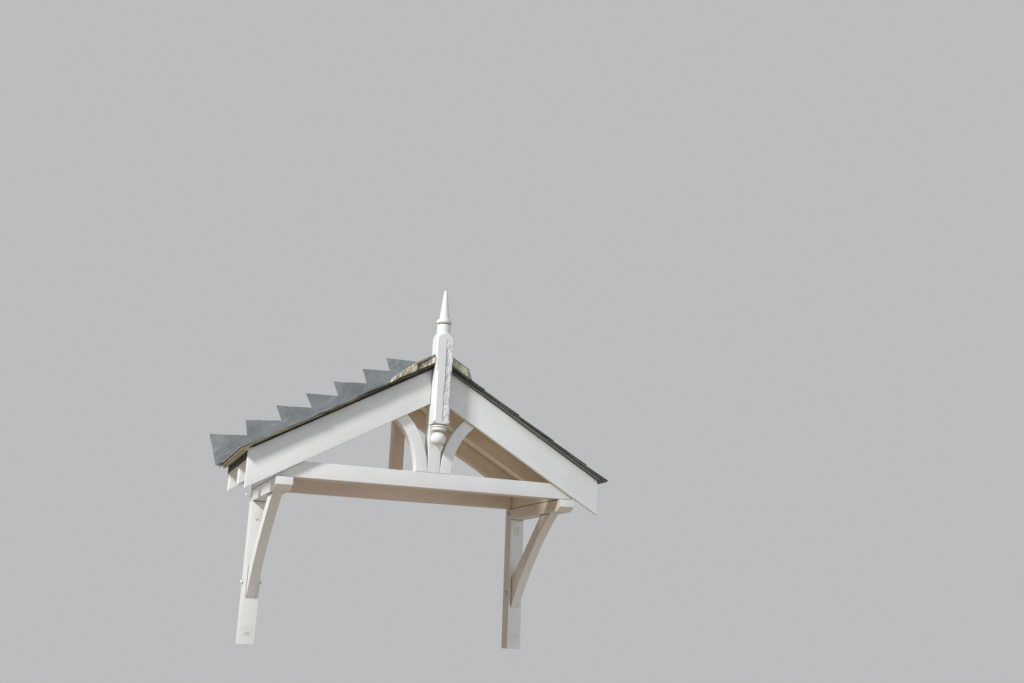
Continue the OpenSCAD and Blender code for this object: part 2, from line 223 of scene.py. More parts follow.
# Painted timber: brush marks and raised grain along each piece, dust with painted warm shade on the
# undersides and inner sides, painted shade with grime in the corners and joints
paintShades = {
    "light": (0.82, 0.825, 0.815, 1),
    "dull": (0.785, 0.79, 0.78, 1),
    "grime": (0.33, 0.29, 0.23, 1),
    "dust": (0.62, 0.52, 0.40, 1),
    "wood": (0.46, 0.42, 0.36, 1),
    "woodDeep": (0.27, 0.23, 0.18, 1),
    "seamDirt": (0.13, 0.10, 0.07, 1),
    # shares of dust with painted warm shade below and inside, of painted joint shade, of grime streaks and of
    # painted corner shade
    "underDust": 0.75, "shelterDust": 0.8, "seam": 0.9, "streak": 0.07, "dirt": 0.45,
    "wear": 0.70, "chip": 0.84, "seamFrom": 0.70, "seamTo": 0.44, "gloss": 0.40, "grain": 1,
}


def paintedTimber(name, **changes):
    paint = {**paintShades, **changes}
    material, tree, place = startMaterial(name)
    grain = attributeOf(tree, "grain", "Vector")
    cloud = noiseOf(tree, grain, 5, 4, 0.6, (1, 3, 3))
    brush = noiseOf(tree, grain, 1, 3, 0.6, (9, 420, 420))
    fibre = noiseOf(tree, grain, 1, 5, 0.65, (7, 95, 95), 0.6)
    colour = stained(tree, paint["light"], paint["dull"], cloud, 0.35, 0.7)
    streak = noiseOf(tree, place, 1, 4, 0.6, (55, 55, 5))
    colour = stained(tree, colour, paint["grime"], streak, 0.56, 0.75, paint["streak"])
    sideways, outwards = facingOf(tree, "X"), partOf(tree, place, "X")
    # dust with painted warm bounce and shade on faces that look down
    under = rampOf(tree, facingOf(tree, "Z"), -0.35, -0.9, 0, paint["underDust"])
    inward = mathOf(tree, "MULTIPLY", sideways, outwards)          # below 0 on sides that face the middle
    # dust with painted shade on sides that face the middle
    shelter = rampOf(tree, inward, -0.35, -0.55, 0, paint["shelterDust"])
    colour = tintOf(tree, mathOf(tree, "MAXIMUM", under, shelter), colour, paint["dust"])
    # painted shade with grime in corners, in patches, where little open space lies around
    corner = rampOf(tree, opennessOf(tree, 0.03), 0.75, 0.35)
    patch = rampOf(tree, noiseOf(tree, place, 34, 4, 0.7), 0.3, 0.62)
    reach = mathOf(tree, "MULTIPLY", corner, patch)
    colour = tintOf(tree, mathOf(tree, "MULTIPLY", reach, paint["dirt"]), colour, paint["grime"])
    # painted shade in the narrow joints between timbers
    colour = stained(tree, colour, paint["seamDirt"], opennessOf(tree, 0.006),
                     paint["seamFrom"], paint["seamTo"], paint["seam"])
    rub = noiseOf(tree, grain, 1, 5, 0.75, (22, 60, 60))
    rub = rampOf(tree, rub, paint["wear"], paint["wear"] + 0.05)
    edge = rampOf(tree, opennessOf(tree, 0.006, True), 0.62, 0.5)
    chip = noiseOf(tree, grain, 1, 6, 0.7, (30, 75, 75), 0.4)
    chip = rampOf(tree, chip, paint["chip"], paint["chip"] + 0.03)
    gone = mathOf(tree, "MAXIMUM", mathOf(tree, "MULTIPLY", edge, rub), chip)
    gone = mathOf(tree, "MAXIMUM", gone, attributeOf(tree, "bare"))
    wood = stained(tree, paint["woodDeep"], paint["wood"], fibre, 0.35, 0.65)
    colour = tintOf(tree, gone, colour, wood)
    # eaves ends of the roof boards near black: soiled end grain with painted shade under the slates
    if "rawEdge" in paint:
        colour = stained(tree, colour, paint["rawEdge"], mathOf(tree, "ABSOLUTE", sideways), 0.54, 0.62)
    if "tailFrom" in paint:
        colour = stained(tree, colour, paintShades["light"], mathOf(tree, "ABSOLUTE", outwards),
                         paint["tailFrom"], paint["tailFrom"] + 0.01)
    rough = rampOf(tree, cloud, 0.3, 0.7, paint["gloss"], paint["gloss"] + 0.14)
    rough = mathOf(tree, "MAXIMUM", rough, mathOf(tree, "MULTIPLY", gone, 0.8))
    coat = mathOf(tree, "SUBTRACT", 1, gone)
    return finishMaterial(material, colour, rough, (fibre, 0.35 * paint["grain"], 0.0008),
                          (brush, 0.22, 0.00035), (coat, 0.6, 0.0006))


# One paint for each group of timbers
sheltered = (0.59, 0.48, 0.36, 1)     # dust with painted warm shade and bounce
# under the roof: warm beige, painted shade and warm bounce with dust; the rafter tails keep the plain white
underRoof = {
    "light": (0.80, 0.69, 0.54, 1), "dull": (0.70, 0.60, 0.46, 1), "dust": (0.74, 0.62, 0.48, 1),
    "grain": 0.6, "seam": 0.25, "dirt": 0.25,
}
# brackets: painted joint shade over a wider range, dust with painted warm shade below and inside
bracketPaint = paintedTimber("bracketPaint", dust=(0.60, 0.49, 0.38, 1), underDust=0.6, shelterDust=0.95,
                             seamFrom=0.86, seamTo=0.62)
trussPaint = paintedTimber("trussPaint", dust=sheltered, underDust=0.9, shelterDust=0.95, wear=0.74)
# rear tie beam and rear king post: beige all over, painted shade and warm bounce with dust
shelteredPaint = paintedTimber("shelteredPaint", light=(0.75, 0.62, 0.51, 1), dull=(0.70, 0.575, 0.465, 1),
                               dust=sheltered, wear=0.74)
# bargeboards: cream on their lower edges, painted sunlight with dust
boardPaint = paintedTimber("boardPaint", light=(0.83, 0.84, 0.835, 1), dust=(0.84, 0.78, 0.64, 1),
                           grain=0.45, underDust=0.5, wear=0.68)
finialPaint = paintedTimber("finialPaint", light=(0.80, 0.81, 0.805, 1), wood=(0.84, 0.85, 0.86, 1),
                            woodDeep=(0.50, 0.51, 0.53, 1), chip=0.80, streak=0.2, wear=0.60, grain=1.6)
raftersPaint = paintedTimber("raftersPaint", **underRoof, tailFrom=0.70, gloss=0.6)
soffitPaint = paintedTimber("soffitPaint", **underRoof, rawEdge=(0.050, 0.036, 0.024, 1), underDust=0.6,
                            gloss=0.62)
fillerPaint = paintedTimber("fillerPaint", light=(0.80, 0.79, 0.73, 1), dull=(0.74, 0.72, 0.64, 1),
                            wood=(0.36, 0.25, 0.18, 1), woodDeep=(0.24, 0.16, 0.11, 1), gloss=0.55)

# Sawn battens: rings along the grain and saw marks across it, near black as weathered wood with painted shade
# under the slates
battenShades = {"ring": (0.105, 0.068, 0.040, 1), "deep": (0.050, 0.034, 0.022, 1),
                "grey": (0.062, 0.056, 0.050, 1)}


def sawnTimber(name):
    material, tree, place = startMaterial(name)
    grain = attributeOf(tree, "grain", "Vector")
    rings = noiseOf(tree, grain, 1, 5, 0.6, (5, 110, 110), 0.8)
    saw = noiseOf(tree, grain, 1, 2, 0.5, (260, 30, 30))
    colour = stained(tree, battenShades["ring"], battenShades["deep"], rings, 0.3, 0.7)
    grey = noiseOf(tree, place, 14, 4, 0.6)
    colour = stained(tree, colour, battenShades["grey"], grey, 0.45, 0.7, 0.6)
    return finishMaterial(material, colour, rampOf(tree, rings, 0.3, 0.7, 0.75, 0.9),
                          (rings, 0.5, 0.001), (saw, 0.5, 0.0012))


# Slate: split layers in a tone of its own, worn edges with painted shade near the ridge, painted sunlight on
# the eaves ends, lichen and moss
def rivenSlate(name, shades):
    material, tree, place = startMaterial(name)
    layer = noiseOf(tree, place, 9, 6, 0.62, (1, 1, 1), 1.2)
    fine = noiseOf(tree, place, 120, 4, 0.65)
    colour = tintOf(tree, attributeOf(tree, "own"), shades["deep"], shades["pale"])
    colour = stained(tree, colour, shades["brown"], layer, 0.35, 0.7, 0.55)
    colour = stained(tree, colour, shades["dusty"], fine, 0.5, 0.8, 0.5)
    patchy = rampOf(tree, layer, 0.2, 0.6, 0.45, 1)
    upward = facingOf(tree, "Z")
    outwards = mathOf(tree, "ABSOLUTE", partOf(tree, place, "X"))
    # the edges' tone turns to painted shade towards the ridge
    edge = stained(tree, shades["edge"], shades["edgeHigh"], outwards,
                   shades["darkTo"], shades["darkTo"] - 0.12)
    onEdge = rampOf(tree, mathOf(tree, "ABSOLUTE", upward), 0.75, 0.6)
    colour = tintOf(tree, mathOf(tree, "MULTIPLY", onEdge, patchy), colour, edge)
    # undersides take a tone of their own; on the left side a pale tan, painted light
    colour = stained(tree, colour, shades["under"], upward, -0.6, -0.75, 0.85)
    # pale eaves ends: painted sunlight with lichen
    onTail = rampOf(tree, mathOf(tree, "ABSOLUTE", facingOf(tree, "X")), 0.62, 0.72)
    colour = tintOf(tree, mathOf(tree, "MULTIPLY", onTail, patchy), colour, shades["tail"])
    crust = rampOf(tree, noiseOf(tree, place, 26, 6, 0.72), 0.53, 0.68)
    lichen = mathOf(tree, "MULTIPLY", crust, rampOf(tree, cellsOf(tree, place, 55), 0.55, 0.25))
    colour = tintOf(tree, mathOf(tree, "MULTIPLY", lichen, shades["lichen"]), colour, shades["lichenTone"])
    green = noiseOf(tree, place, 7, 5, 0.7)
    colour = stained(tree, colour, shades["mossTone"], green, 0.55, 0.75, shades["moss"])
    return finishMaterial(material, colour, rampOf(tree, layer, 0.3, 0.7, 0.55, 0.78),
                          (layer, 0.5, 0.0022), (fine, 0.35, 0.0005), (lichen, 0.4, 0.0006))


slateShades = {
    "pale": (0.150, 0.153, 0.150, 1), "deep": (0.085, 0.092, 0.098, 1),
    "brown": (0.120, 0.115, 0.105, 1), "dusty": (0.215, 0.22, 0.215, 1),
    # edges pale, with painted shade near the ridge; the pale tone on the eaves ends is painted sunlight
    "edge": (0.17, 0.172, 0.16, 1), "edgeHigh": (0.055, 0.055, 0.052, 1), "tail": (0.36, 0.345, 0.28, 1),
    "under": (0.17, 0.165, 0.145, 1), "darkTo": 0.27, "lichen": 0.7, "moss": 0.45,
    "lichenTone": (0.33, 0.34, 0.27, 1), "mossTone": (0.10, 0.12, 0.065, 1),
}
# the left side: edges dark towards the ridge over more of the verge, painted shade, and pale tan undersides,
# painted light
dampShades = {
    **slateShades, "edge": (0.25, 0.235, 0.18, 1), "edgeHigh": (0.013, 0.012, 0.011, 1),
    "under": (0.54, 0.47, 0.31, 1), "darkTo": 0.44, "lichen": 0.35,
}
cloakShades = {
    **slateShades, "pale": (0.075, 0.074, 0.070, 1), "deep": (0.035, 0.035, 0.034, 1),
    "brown": (0.050, 0.047, 0.042, 1), "dusty": (0.11, 0.11, 0.10, 1),
    "edge": (0.20, 0.205, 0.185, 1), "edgeHigh": (0.018, 0.018, 0.017, 1), "tail": (0.20, 0.19, 0.16, 1),
    "under": (0.18, 0.18, 0.165, 1), "lichen": 0.2, "moss": 0.1,
}
# the left undercloak: near black all over, painted shade, with pale eaves ends, painted sunlight
dampCloakShades = {
    **cloakShades, "pale": (0.030, 0.029, 0.026, 1), "deep": (0.012, 0.012, 0.011, 1),
    "edge": (0.013, 0.012, 0.011, 1), "edgeHigh": (0.010, 0.010, 0.010, 1), "tail": (0.34, 0.30, 0.21, 1),
    "under": (0.020, 0.018, 0.015, 1), "lichen": 0.1,
}
# the left side's slate and undercloak carry painted shade; the right side's keep the plainer tones
slateFinish = {"left": rivenSlate("dampSlate", dampShades), "right": rivenSlate("drySlate", slateShades)}
cloakFinish = {"left": rivenSlate("dampCloak", dampCloakShades), "right": rivenSlate("dryCloak", cloakShades)}

# Mortar: sandy and stained, with painted shade near the ridge on the verges, ribbed and mossy on the ridge
hookPlace = 0.109                     # middle to the dark hollow at the foot of the left ridge tile
mortarShades = {
    "pale": (0.46, 0.41, 0.30, 1), "deep": (0.29, 0.26, 0.20, 1),
    "ribTone": (0.27, 0.24, 0.17, 1), "gritTone": (0.22, 0.19, 0.14, 1), "stainTone": (0.105, 0.10, 0.075, 1),
    "sootTone": (0.030, 0.026, 0.022, 1), "hookTone": (0.13, 0.115, 0.06, 1),
    "mossTone": (0.34, 0.355, 0.24, 1), "spotTone": (0.10, 0.115, 0.06, 1),
    # shares of stain, ribs and moss, and the share and reach of the painted shade near the ridge
    "stain": 0.8, "ribs": 0, "moss": 0, "soot": 0.9, "sootTo": 0.44,
}


def sandyMortar(name, **changes):
    shades = {**mortarShades, **changes}
    material, tree, place = startMaterial(name)
    cloud = noiseOf(tree, place, 16, 5, 0.65)
    ribs = noiseOf(tree, place, 1, 3, 0.6, (105, 14, 24))
    grit = noiseOf(tree, place, 420, 3, 0.7)
    stain = noiseOf(tree, place, 11, 6, 0.75)
    colour = stained(tree, shades["pale"], shades["deep"], cloud, 0.32, 0.68)
    colour = stained(tree, colour, shades["ribTone"], ribs, 0.42, 0.62, shades["ribs"])
    colour = stained(tree, colour, shades["gritTone"], grit, 0.5, 0.75, 0.5)
    colour = stained(tree, colour, shades["stainTone"], stain, 0.54, 0.68, shades["stain"])
    rightward = partOf(tree, place, "X")
    # painted shade near the ridge, where the verges lie in shadow
    if shades["soot"]:
        colour = stained(tree, colour, shades["sootTone"], mathOf(tree, "ABSOLUTE", rightward),
                         shades["sootTo"], shades["sootTo"] - 0.12, shades["soot"])
    else:
        offHook = mathOf(tree, "ABSOLUTE", mathOf(tree, "ADD", rightward, hookPlace))
        colour = stained(tree, colour, shades["hookTone"], offHook, 0.010, 0.005, 0.85)
    mossy = rampOf(tree, noiseOf(tree, place, 38, 6, 0.75), 0.44, 0.56, 0, shades["moss"])
    mossy = mathOf(tree, "MULTIPLY", mossy, rampOf(tree, rightward, 0.01, 0.05))
    colour = tintOf(tree, mossy, colour, shades["mossTone"])
    spot = noiseOf(tree, place, 75, 5, 0.7)
    colour = stained(tree, colour, shades["spotTone"], spot, 0.58, 0.66, 0.7)
    return finishMaterial(material, colour, rampOf(tree, cloud, 0.3, 0.7, 0.85, 0.97),
                          (cloud, 0.5, 0.003), (ribs, 0.8 * shades["ribs"], 0.003),
                          (grit, 0.6, 0.0009), (cellsOf(tree, place, 260), 0.3, 0.0008))


vergeMortar = {
    "left": sandyMortar("leftVergeMortar"),
    "right": sandyMortar("rightVergeMortar", pale=(0.155, 0.155, 0.142, 1), deep=(0.115, 0.115, 0.105, 1),
                         sootTo=0.27),
}
eavesMortar = {
    "left": sandyMortar("leftEavesMortar", pale=(0.66, 0.59, 0.42, 1), deep=(0.50, 0.44, 0.31, 1),
                        stain=0.4, soot=0),
    "right": sandyMortar("rightEavesMortar", pale=(0.10, 0.098, 0.088, 1), deep=(0.06, 0.058, 0.052, 1),
                         soot=0),
}
ridgeMortar = sandyMortar("ridgeMortar", pale=(0.88, 0.82, 0.67, 1), deep=(0.64, 0.58, 0.45, 1),
                          stain=0.3, ribs=0.75, moss=0.75, soot=0)

# Ridge tiles: fired clay under moss, with dark and ochre spots
clayShades = {
    "deep": (0.17, 0.165, 0.155, 1), "pale": (0.27, 0.26, 0.23, 1), "moss": (0.36, 0.355, 0.27, 1),
    "dark": (0.075, 0.085, 0.055, 1), "ochre": (0.34, 0.26, 0.10, 1),
}


def firedClay(name):
    material, tree, place = startMaterial(name)
    cloud = noiseOf(tree, place, 12, 5, 0.6)
    fine = noiseOf(tree, place, 240, 3, 0.6)
    moss = noiseOf(tree, place, 30, 6, 0.75)
    dark = noiseOf(tree, place, 44, 5, 0.7)
    ochre = noiseOf(tree, place, 48, 5, 0.7)
    colour = stained(tree, clayShades["deep"], clayShades["pale"], cloud, 0.3, 0.7)
    colour = stained(tree, colour, clayShades["moss"], moss, 0.46, 0.60, 0.8)
    colour = stained(tree, colour, clayShades["dark"], dark, 0.54, 0.62, 0.85)
    colour = stained(tree, colour, clayShades["ochre"], ochre, 0.62, 0.7, 0.7)
    return finishMaterial(material, colour, rampOf(tree, cloud, 0.3, 0.7, 0.6, 0.85),
                          (moss, 0.4, 0.001), (fine, 0.4, 0.0006))


# Sheet lead: a grey patina with pale runs, darker in its corners
leadShades = {
    "pale": (0.30, 0.325, 0.345, 1), "deep": (0.215, 0.235, 0.25, 1), "run": (0.46, 0.47, 0.465, 1),
    "speck": (0.15, 0.16, 0.17, 1), "corner": (0.12, 0.12, 0.11, 1), "metal": 0.35,
    "runTurn": math.radians(38),      # turn of the pale runs about Y
}


def sheetLead(name):
    material, tree, place = startMaterial(name)
    cloud = noiseOf(tree, place, 7, 5, 0.6, (1, 1, 1), 0.8)
    fine = noiseOf(tree, place, 70, 5, 0.65)
    turned = addNode(tree, "ShaderNodeMapping", {}, {
        "Vector": place, "Rotation": (0, leadShades["runTurn"], 0)})
    run = noiseOf(tree, turned.outputs[0], 1, 4, 0.6, (9, 40, 48), 0.6)
    colour = stained(tree, leadShades["pale"], leadShades["deep"], cloud, 0.3, 0.7)
    colour = stained(tree, colour, leadShades["run"], run, 0.5, 0.75, 0.55)
    colour = stained(tree, colour, leadShades["speck"], fine, 0.52, 0.75, 0.4)
    colour = stained(tree, colour, leadShades["corner"], opennessOf(tree, 0.05), 0.7, 0.3, 0.5)
    tree.nodes["Principled BSDF"].inputs["Metallic"].default_value = leadShades["metal"]
    return finishMaterial(material, colour, rampOf(tree, cloud, 0.3, 0.7, 0.5, 0.68),
                          (cloud, 0.5, 0.004), (fine, 0.25, 0.0006))


batten = sawnTimber("sawnBatten")
clay = firedClay("firedClay")
lead = sheetLead("sheetLead")
print("finishes mixed:", len(bpy.data.materials))


# Mesh helpers
def meshOf(name, points, faces):
    mesh = bpy.data.meshes.new(name)
    mesh.from_pydata([tuple(p) for p in points], [], faces)
    mesh.validate()
    return mesh


def shadeBy(mesh, degrees):
    mesh.shade_smooth()
    mesh.set_sharp_from_angle(angle=math.radians(degrees))


def setPoints(mesh, name, values, kind="FLOAT"):
    layer = mesh.attributes.new(name, kind, "POINT")
    key = "value" if kind == "FLOAT" else "vector"
    layer.data.foreach_set(key, np.asarray(values, np.float32).ravel())


def corners(mesh):
    flat = np.zeros(len(mesh.vertices) * 3, np.float32)
    mesh.vertices.foreach_get("co", flat)
    return flat.reshape(-1, 3).astype(float)


def grainAlong(mesh, along, seed):
    run = Vector(along).normalized()
    side = run.cross(Vector((0.13, 0.21, 0.97)) if abs(run.z) < 0.9 else Vector((1, 0, 0))).normalized()
    deep = run.cross(side)
    shift = np.array([seed * 1.37, seed * 0.71, seed * 0.43])
    values = corners(mesh) @ np.array([run, side, deep]).T + shift
    setPoints(mesh, "grain", values, "FLOAT_VECTOR")


def addPiece(name, mesh, material, slot, *nodes):
    piece = newObject(name, mesh)
    mesh.materials.clear()
    mesh.materials.append(material)
    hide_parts(*nodes)
    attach(piece, "root")
    return piece


def shiver(point, size, seed):
    at = Vector(point) / size + Vector((seed * 3.1, seed * 1.7, seed * 5.3))
    return noise.fractal(at, 0.9, 2.1, 4)


# Timbers: the built shape with eased edges
roofPitch = math.radians(29.5)
timber = {
    "ease": 0.0026,                   # how much the plane took off each edge
    "boardEase": 0.0018, "pegEase": 0.0012, "battenEase": 0.001,
    "armGap": 0.003,                  # open joint between an arm and the plate on it
    "eavesTrim": 0.010,               # how far the roof boards stop short at the eaves
    "eavesReach": 0.006,              # points this near the end move with it
    "flatAngle": math.radians(0.4),   # faces nearer to flat than this are joined
    "edgeAngle": math.radians(22),    # edges sharper than this are eased
}


def easedCopy(nodeName, ease):
    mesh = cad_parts[nodeName].data.copy()
    shape = bmesh.new()
    shape.from_mesh(mesh)
    bmesh.ops.remove_doubles(shape, verts=shape.verts, dist=1e-5)
    bmesh.ops.dissolve_limit(shape, angle_limit=timber["flatAngle"], verts=shape.verts, edges=shape.edges)
    sharp = [e for e in shape.edges
             if len(e.link_faces) == 2 and e.calc_face_angle() > timber["edgeAngle"]]
    bmesh.ops.bevel(shape, geom=sharp, offset=ease, offset_type="OFFSET", segments=3, profile=0.6,
                    affect="EDGES", clamp_overlap=True)
    bmesh.ops.triangulate(shape, faces=[f for f in shape.faces if len(f.verts) > 4])
    shape.to_mesh(mesh)
    shape.free()
    return mesh


# Roof boards and battens end a little short, along the slope
def trimmedAtEaves(mesh):
    end = np.abs(corners(mesh)[:, 0]).max()
    for vertex in mesh.vertices:
        if abs(vertex.co.x) > end - timber["eavesReach"]:
            vertex.co.x -= math.copysign(timber["eavesTrim"] * math.cos(roofPitch), vertex.co.x)
            vertex.co.z += timber["eavesTrim"] * math.sin(roofPitch)


def loweredTop(mesh):
    top = corners(mesh)[:, 2].max()
    for vertex in mesh.vertices:
        if vertex.co.z > top - 2 * timber["ease"]:
            vertex.co.z -= timber["armGap"]


def addTimber(nodeName, along, seed, material, slot, ease=timber["ease"]):
    mesh = easedCopy(nodeName, ease)
    if "bracket_arm" in nodeName:
        loweredTop(mesh)
    if "roof_boards" in nodeName or "battens" in nodeName:
        trimmedAtEaves(mesh)
    grainAlong(mesh, along, seed)
    shadeBy(mesh, 35)
    return addPiece("painted_" + nodeName, mesh, material, slot, nodeName)


slopeRight = (math.cos(roofPitch), 0, -math.sin(roofPitch))
slopeLeft = (-math.cos(roofPitch), 0, -math.sin(roofPitch))
sideward, outward, upright = (1, 0, 0), (0, 1, 0), (0, 0, 1)

for seed, (name, along) in enumerate({
    "wall_post": upright, "bracket_arm": outward,
    "bracket_brace": (0, -0.70, 0.71), "bracket_pegs": sideward,
}.items()):
    for shift, side in enumerate(("left", "right")):
        addTimber(f"{side}_{name}", along, 3 * seed + 17 * shift + 1, bracketPaint, "bracket_paint",
                  timber["pegEase" if name == "bracket_pegs" else "ease"])

for seed, (name, along) in enumerate({
    "front_tie_beam": sideward, "rear_tie_beam": sideward,
    "front_king_post": upright, "rear_king_post": upright,
    "left_curved_strut": (-0.4, 0, 1), "right_curved_strut": (0.4, 0, 1),
    "left_side_plate": outward, "right_side_plate": outward,
    "front_left_rafter": slopeLeft, "front_right_rafter": slopeRight,
    "middle_left_rafter": slopeLeft, "middle_right_rafter": slopeRight,
    "rear_left_rafter": slopeLeft, "rear_right_rafter": slopeRight,
}.items()):
    paint = raftersPaint if name.endswith("rafter") else trussPaint
    # the rear pieces take the beige of painted shade and bounce
    paint = shelteredPaint if name in ("rear_tie_beam", "rear_king_post") else paint
    addTimber(name, along, 5 * seed + 40, paint, "truss_paint")

for name, paint, slot, seed in (("bargeboard", boardPaint, "board_paint", 131),
                                ("roof_boards", soffitPaint, "soffit_paint", 151)):
    addTimber(f"left_{name}", slopeLeft, seed, paint, slot, timber["boardEase"])
    addTimber(f"right_{name}", slopeRight, seed + 6, paint, slot, timber["boardEase"])
for shift, side in enumerate(("left", "right")):
    battens = addTimber(f"{side}_slate_battens", outward, 171 + shift, batten, "sawn_batten",
                        timber["battenEase"])
    battens.name = f"sawn_{side}_slate_battens"
print("timbers dressed")

# Places on the roof: distance from the middle, height square to the slope over the battens, and Y
slatesLow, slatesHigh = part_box("right_slates")
roof = {
    "half": slatesHigh.x,             # middle to the eaves edge of the slates
    "eavesZ": slatesLow.z,
    "front": slatesLow.y,
    "boardEnd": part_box("right_roof_boards")[1].x,
    "slate": 0.004,                   # one slate
    "cos": math.cos(roofPitch), "sin": math.sin(roofPitch), "tan": math.tan(roofPitch),
}
roof["pile"] = 3 * roof["slate"]


def onRoof(side, x, up, y):
    z = roof["eavesZ"] + (roof["half"] - x) * roof["tan"] + up / roof["cos"]
    return Vector((side * x, y, z))


# A closed solid from a sheet of faces, its upper points and its lower points
def solidFrom(sheet, upper, lower):
    count = len(upper)
    faces = list(sheet) + [tuple(i + count for i in reversed(face)) for face in sheet]
    rim = set()
    for face in sheet:
        for first, second in zip(face, face[1:] + face[:1]):
            if (second, first) in rim:
                rim.remove((second, first))
            else:
                rim.add((first, second))
    faces += [(second, first, first + count, second + count) for first, second in sorted(rim)]
    return list(upper) + list(lower), faces


def gridFaces(rows, columns, leftOut):
    faces = []
    for r in range(rows - 1):
        for c in range(columns - 1):
            if not leftOut(r, c):
                a = r * columns + c
                faces.append((a, a + 1, a + columns + 1, a + columns))
    return faces


# A closed sheet over a grid of rows and columns; pointAt gives its points at the upper and the lower level
def sheetOf(levels, rows, columns, pointAt, leftOut=lambda row, column: False):
    layers = [[pointAt(level, row, column) for row in rows for column in columns] for level in levels]
    return solidFrom(gridFaces(len(rows), len(columns), leftOut), *layers)


# 1 at the first place of a line, -1 at the last, 0 between
def endOf(place, line):
    return int(place == line[0]) - int(place == line[-1])


# Faces round a run of closed rings of points, and a fan from one point to a ring
def tubeFaces(rings, count):
    faces = []
    for ring in range(rings - 1):
        for k in range(count):
            a, b = ring * count + k, ring * count + (k + 1) % count
            faces.append((a, b, b + count, a + count))
    return faces


def fanFaces(tip, ring, count):
    return [(tip, ring * count + k, ring * count + (k + 1) % count) for k in range(count)]


# One mesh from several (points, faces, tone of its own)
def joined(name, parts, degrees=40):
    points, faces, own = [], [], []
    for partPoints, partFaces, tone in parts:
        start = len(points)
        points.extend(partPoints)
        faces.extend(tuple(i + start for i in face) for face in partFaces)
        own.extend([tone] * len(partPoints))
    mesh = meshOf(name, points, faces)
    setPoints(mesh, "own", own)
    shape = bmesh.new()
    shape.from_mesh(mesh)
    bmesh.ops.delete(shape, geom=[v for v in shape.verts if not v.link_faces], context="VERTS")
    bmesh.ops.recalc_face_normals(shape, faces=shape.faces)
    shape.to_mesh(mesh)
    shape.free()
    shadeBy(mesh, degrees)
    return mesh


# A piece that stands for one built node; its name says how it is worked
def addWorked(work, node, parts, degrees, material, slot):
    return addPiece(f"{work}_{node}", joined(node, parts, degrees), material, slot, node)


def resampled(outline, step):
    points = []
    for first, second in zip(outline, outline[1:] + outline[:1]):
        a, b = np.array(first, float), np.array(second, float)
        parts = max(1, round(np.linalg.norm(b - a) / step))
        points += [a + (b - a) * i / parts for i in range(parts)]
    return points


# Slates: each one split, dressed and laid by hand, tails over two others
slating = {
    "gauges": (0.129, 0.2, 0.2, 0.2, 0.2),      # what each course shows, eaves first
    "length": 0.5,
    "lap": 0.1,
    "crown": 0.012,                   # how far the top course stops short of the middle
    "courses": ((0.25, 0.25, 0.18), (0.375, 0.25, 0.055)),   # widths from front to back, turn about
    "joint": 0.003,
    "cell": 0.011,                    # size of the mesh on a slate
    "ragged": 0.0022,                 # how uneven the dressed edges are
    "relief": 0.0007,                 # depth of the split face
    "struck": 0.0012,                 # how far the upper arris is struck down
    "slip": 0.002,                    # how far tails are out of line
    "eavesGap": 0.0038,               # open joint above the eaves slates
    "packing": {"tail": 0.030, "length": 0.13, "down": 2.1},     # strips under the eaves slates
    "underEaves": {"tail": 0.002, "length": 0.2},
}


def slateAt(side, tail, fall, length, near, far, seed, drop=0):
    alongs = np.linspace(0, length, int(length / slating["cell"]) + 2)
    acrosses = np.linspace(near, far, int((far - near) / slating["cell"]) + 2)
    thick = roof["slate"] * (0.95 + 0.05 * math.sin(seed * 12.9))
    start = tail + slating["slip"] * (0.5 + 0.5 * math.sin(seed * 7.3)) + roof["pile"] * roof["tan"]

    def pointAt(low, s, y):
        endS, endY = endOf(s, alongs), endOf(y, acrosses)
        chip = 0.3 + 1.4 * abs(shiver((s, y, side), 0.025, seed + low))
        pull = slating["ragged"] * chip * (0.3 if low else 1)
        lift = slating["relief"] * shiver((s, y, 5 * side), 0.07, seed + 3 + low)
        struck = slating["struck"] if (endS or endY) and not low else 0
        up = roof["pile"] - drop - roof["slate"] * s * fall - low * thick + lift - struck
        d = start + s + endS * pull
        x = roof["half"] - d * roof["cos"] + up * roof["sin"]
        return side * x, y + endY * pull, roof["eavesZ"] + d * roof["sin"] + up * roof["cos"]

    return sheetOf((0, 1), alongs, acrosses, pointAt)


def laySlates(side, name):
    parts, tail = [], 0
    seed = 3 if side < 0 else 60
    crown = roof["half"] / roof["cos"] - slating["crown"]
    packing, underEaves = slating["packing"], slating["underEaves"]
    rows = [(packing["tail"], 0, packing["length"], packing["down"] * roof["slate"]),
            (underEaves["tail"], 0, underEaves["length"], roof["slate"] + slating["eavesGap"])]
    for gauge in slating["gauges"]:
        length = min(2 * gauge + slating["lap"], slating["length"], crown - tail)
        rows.append((tail, 1 / gauge, length, 0))
        tail += gauge
    for course, (tail, fall, length, drop) in enumerate(rows):
        place = roof["front"]
        for width in slating["courses"][course % 2]:
            near = place + (slating["joint"] / 2 if place > roof["front"] else 0)
            far = min(place + width - slating["joint"] / 2, -0.001)
            slate = slateAt(side, tail, fall, length, near, far, seed, drop)
            parts.append((*slate, 0.5 + 0.5 * math.sin(seed * 4.7)))
            place += width
            seed += 1
    addWorked("laid", f"{name}_slates", parts, 30, slateFinish[name], "slate")


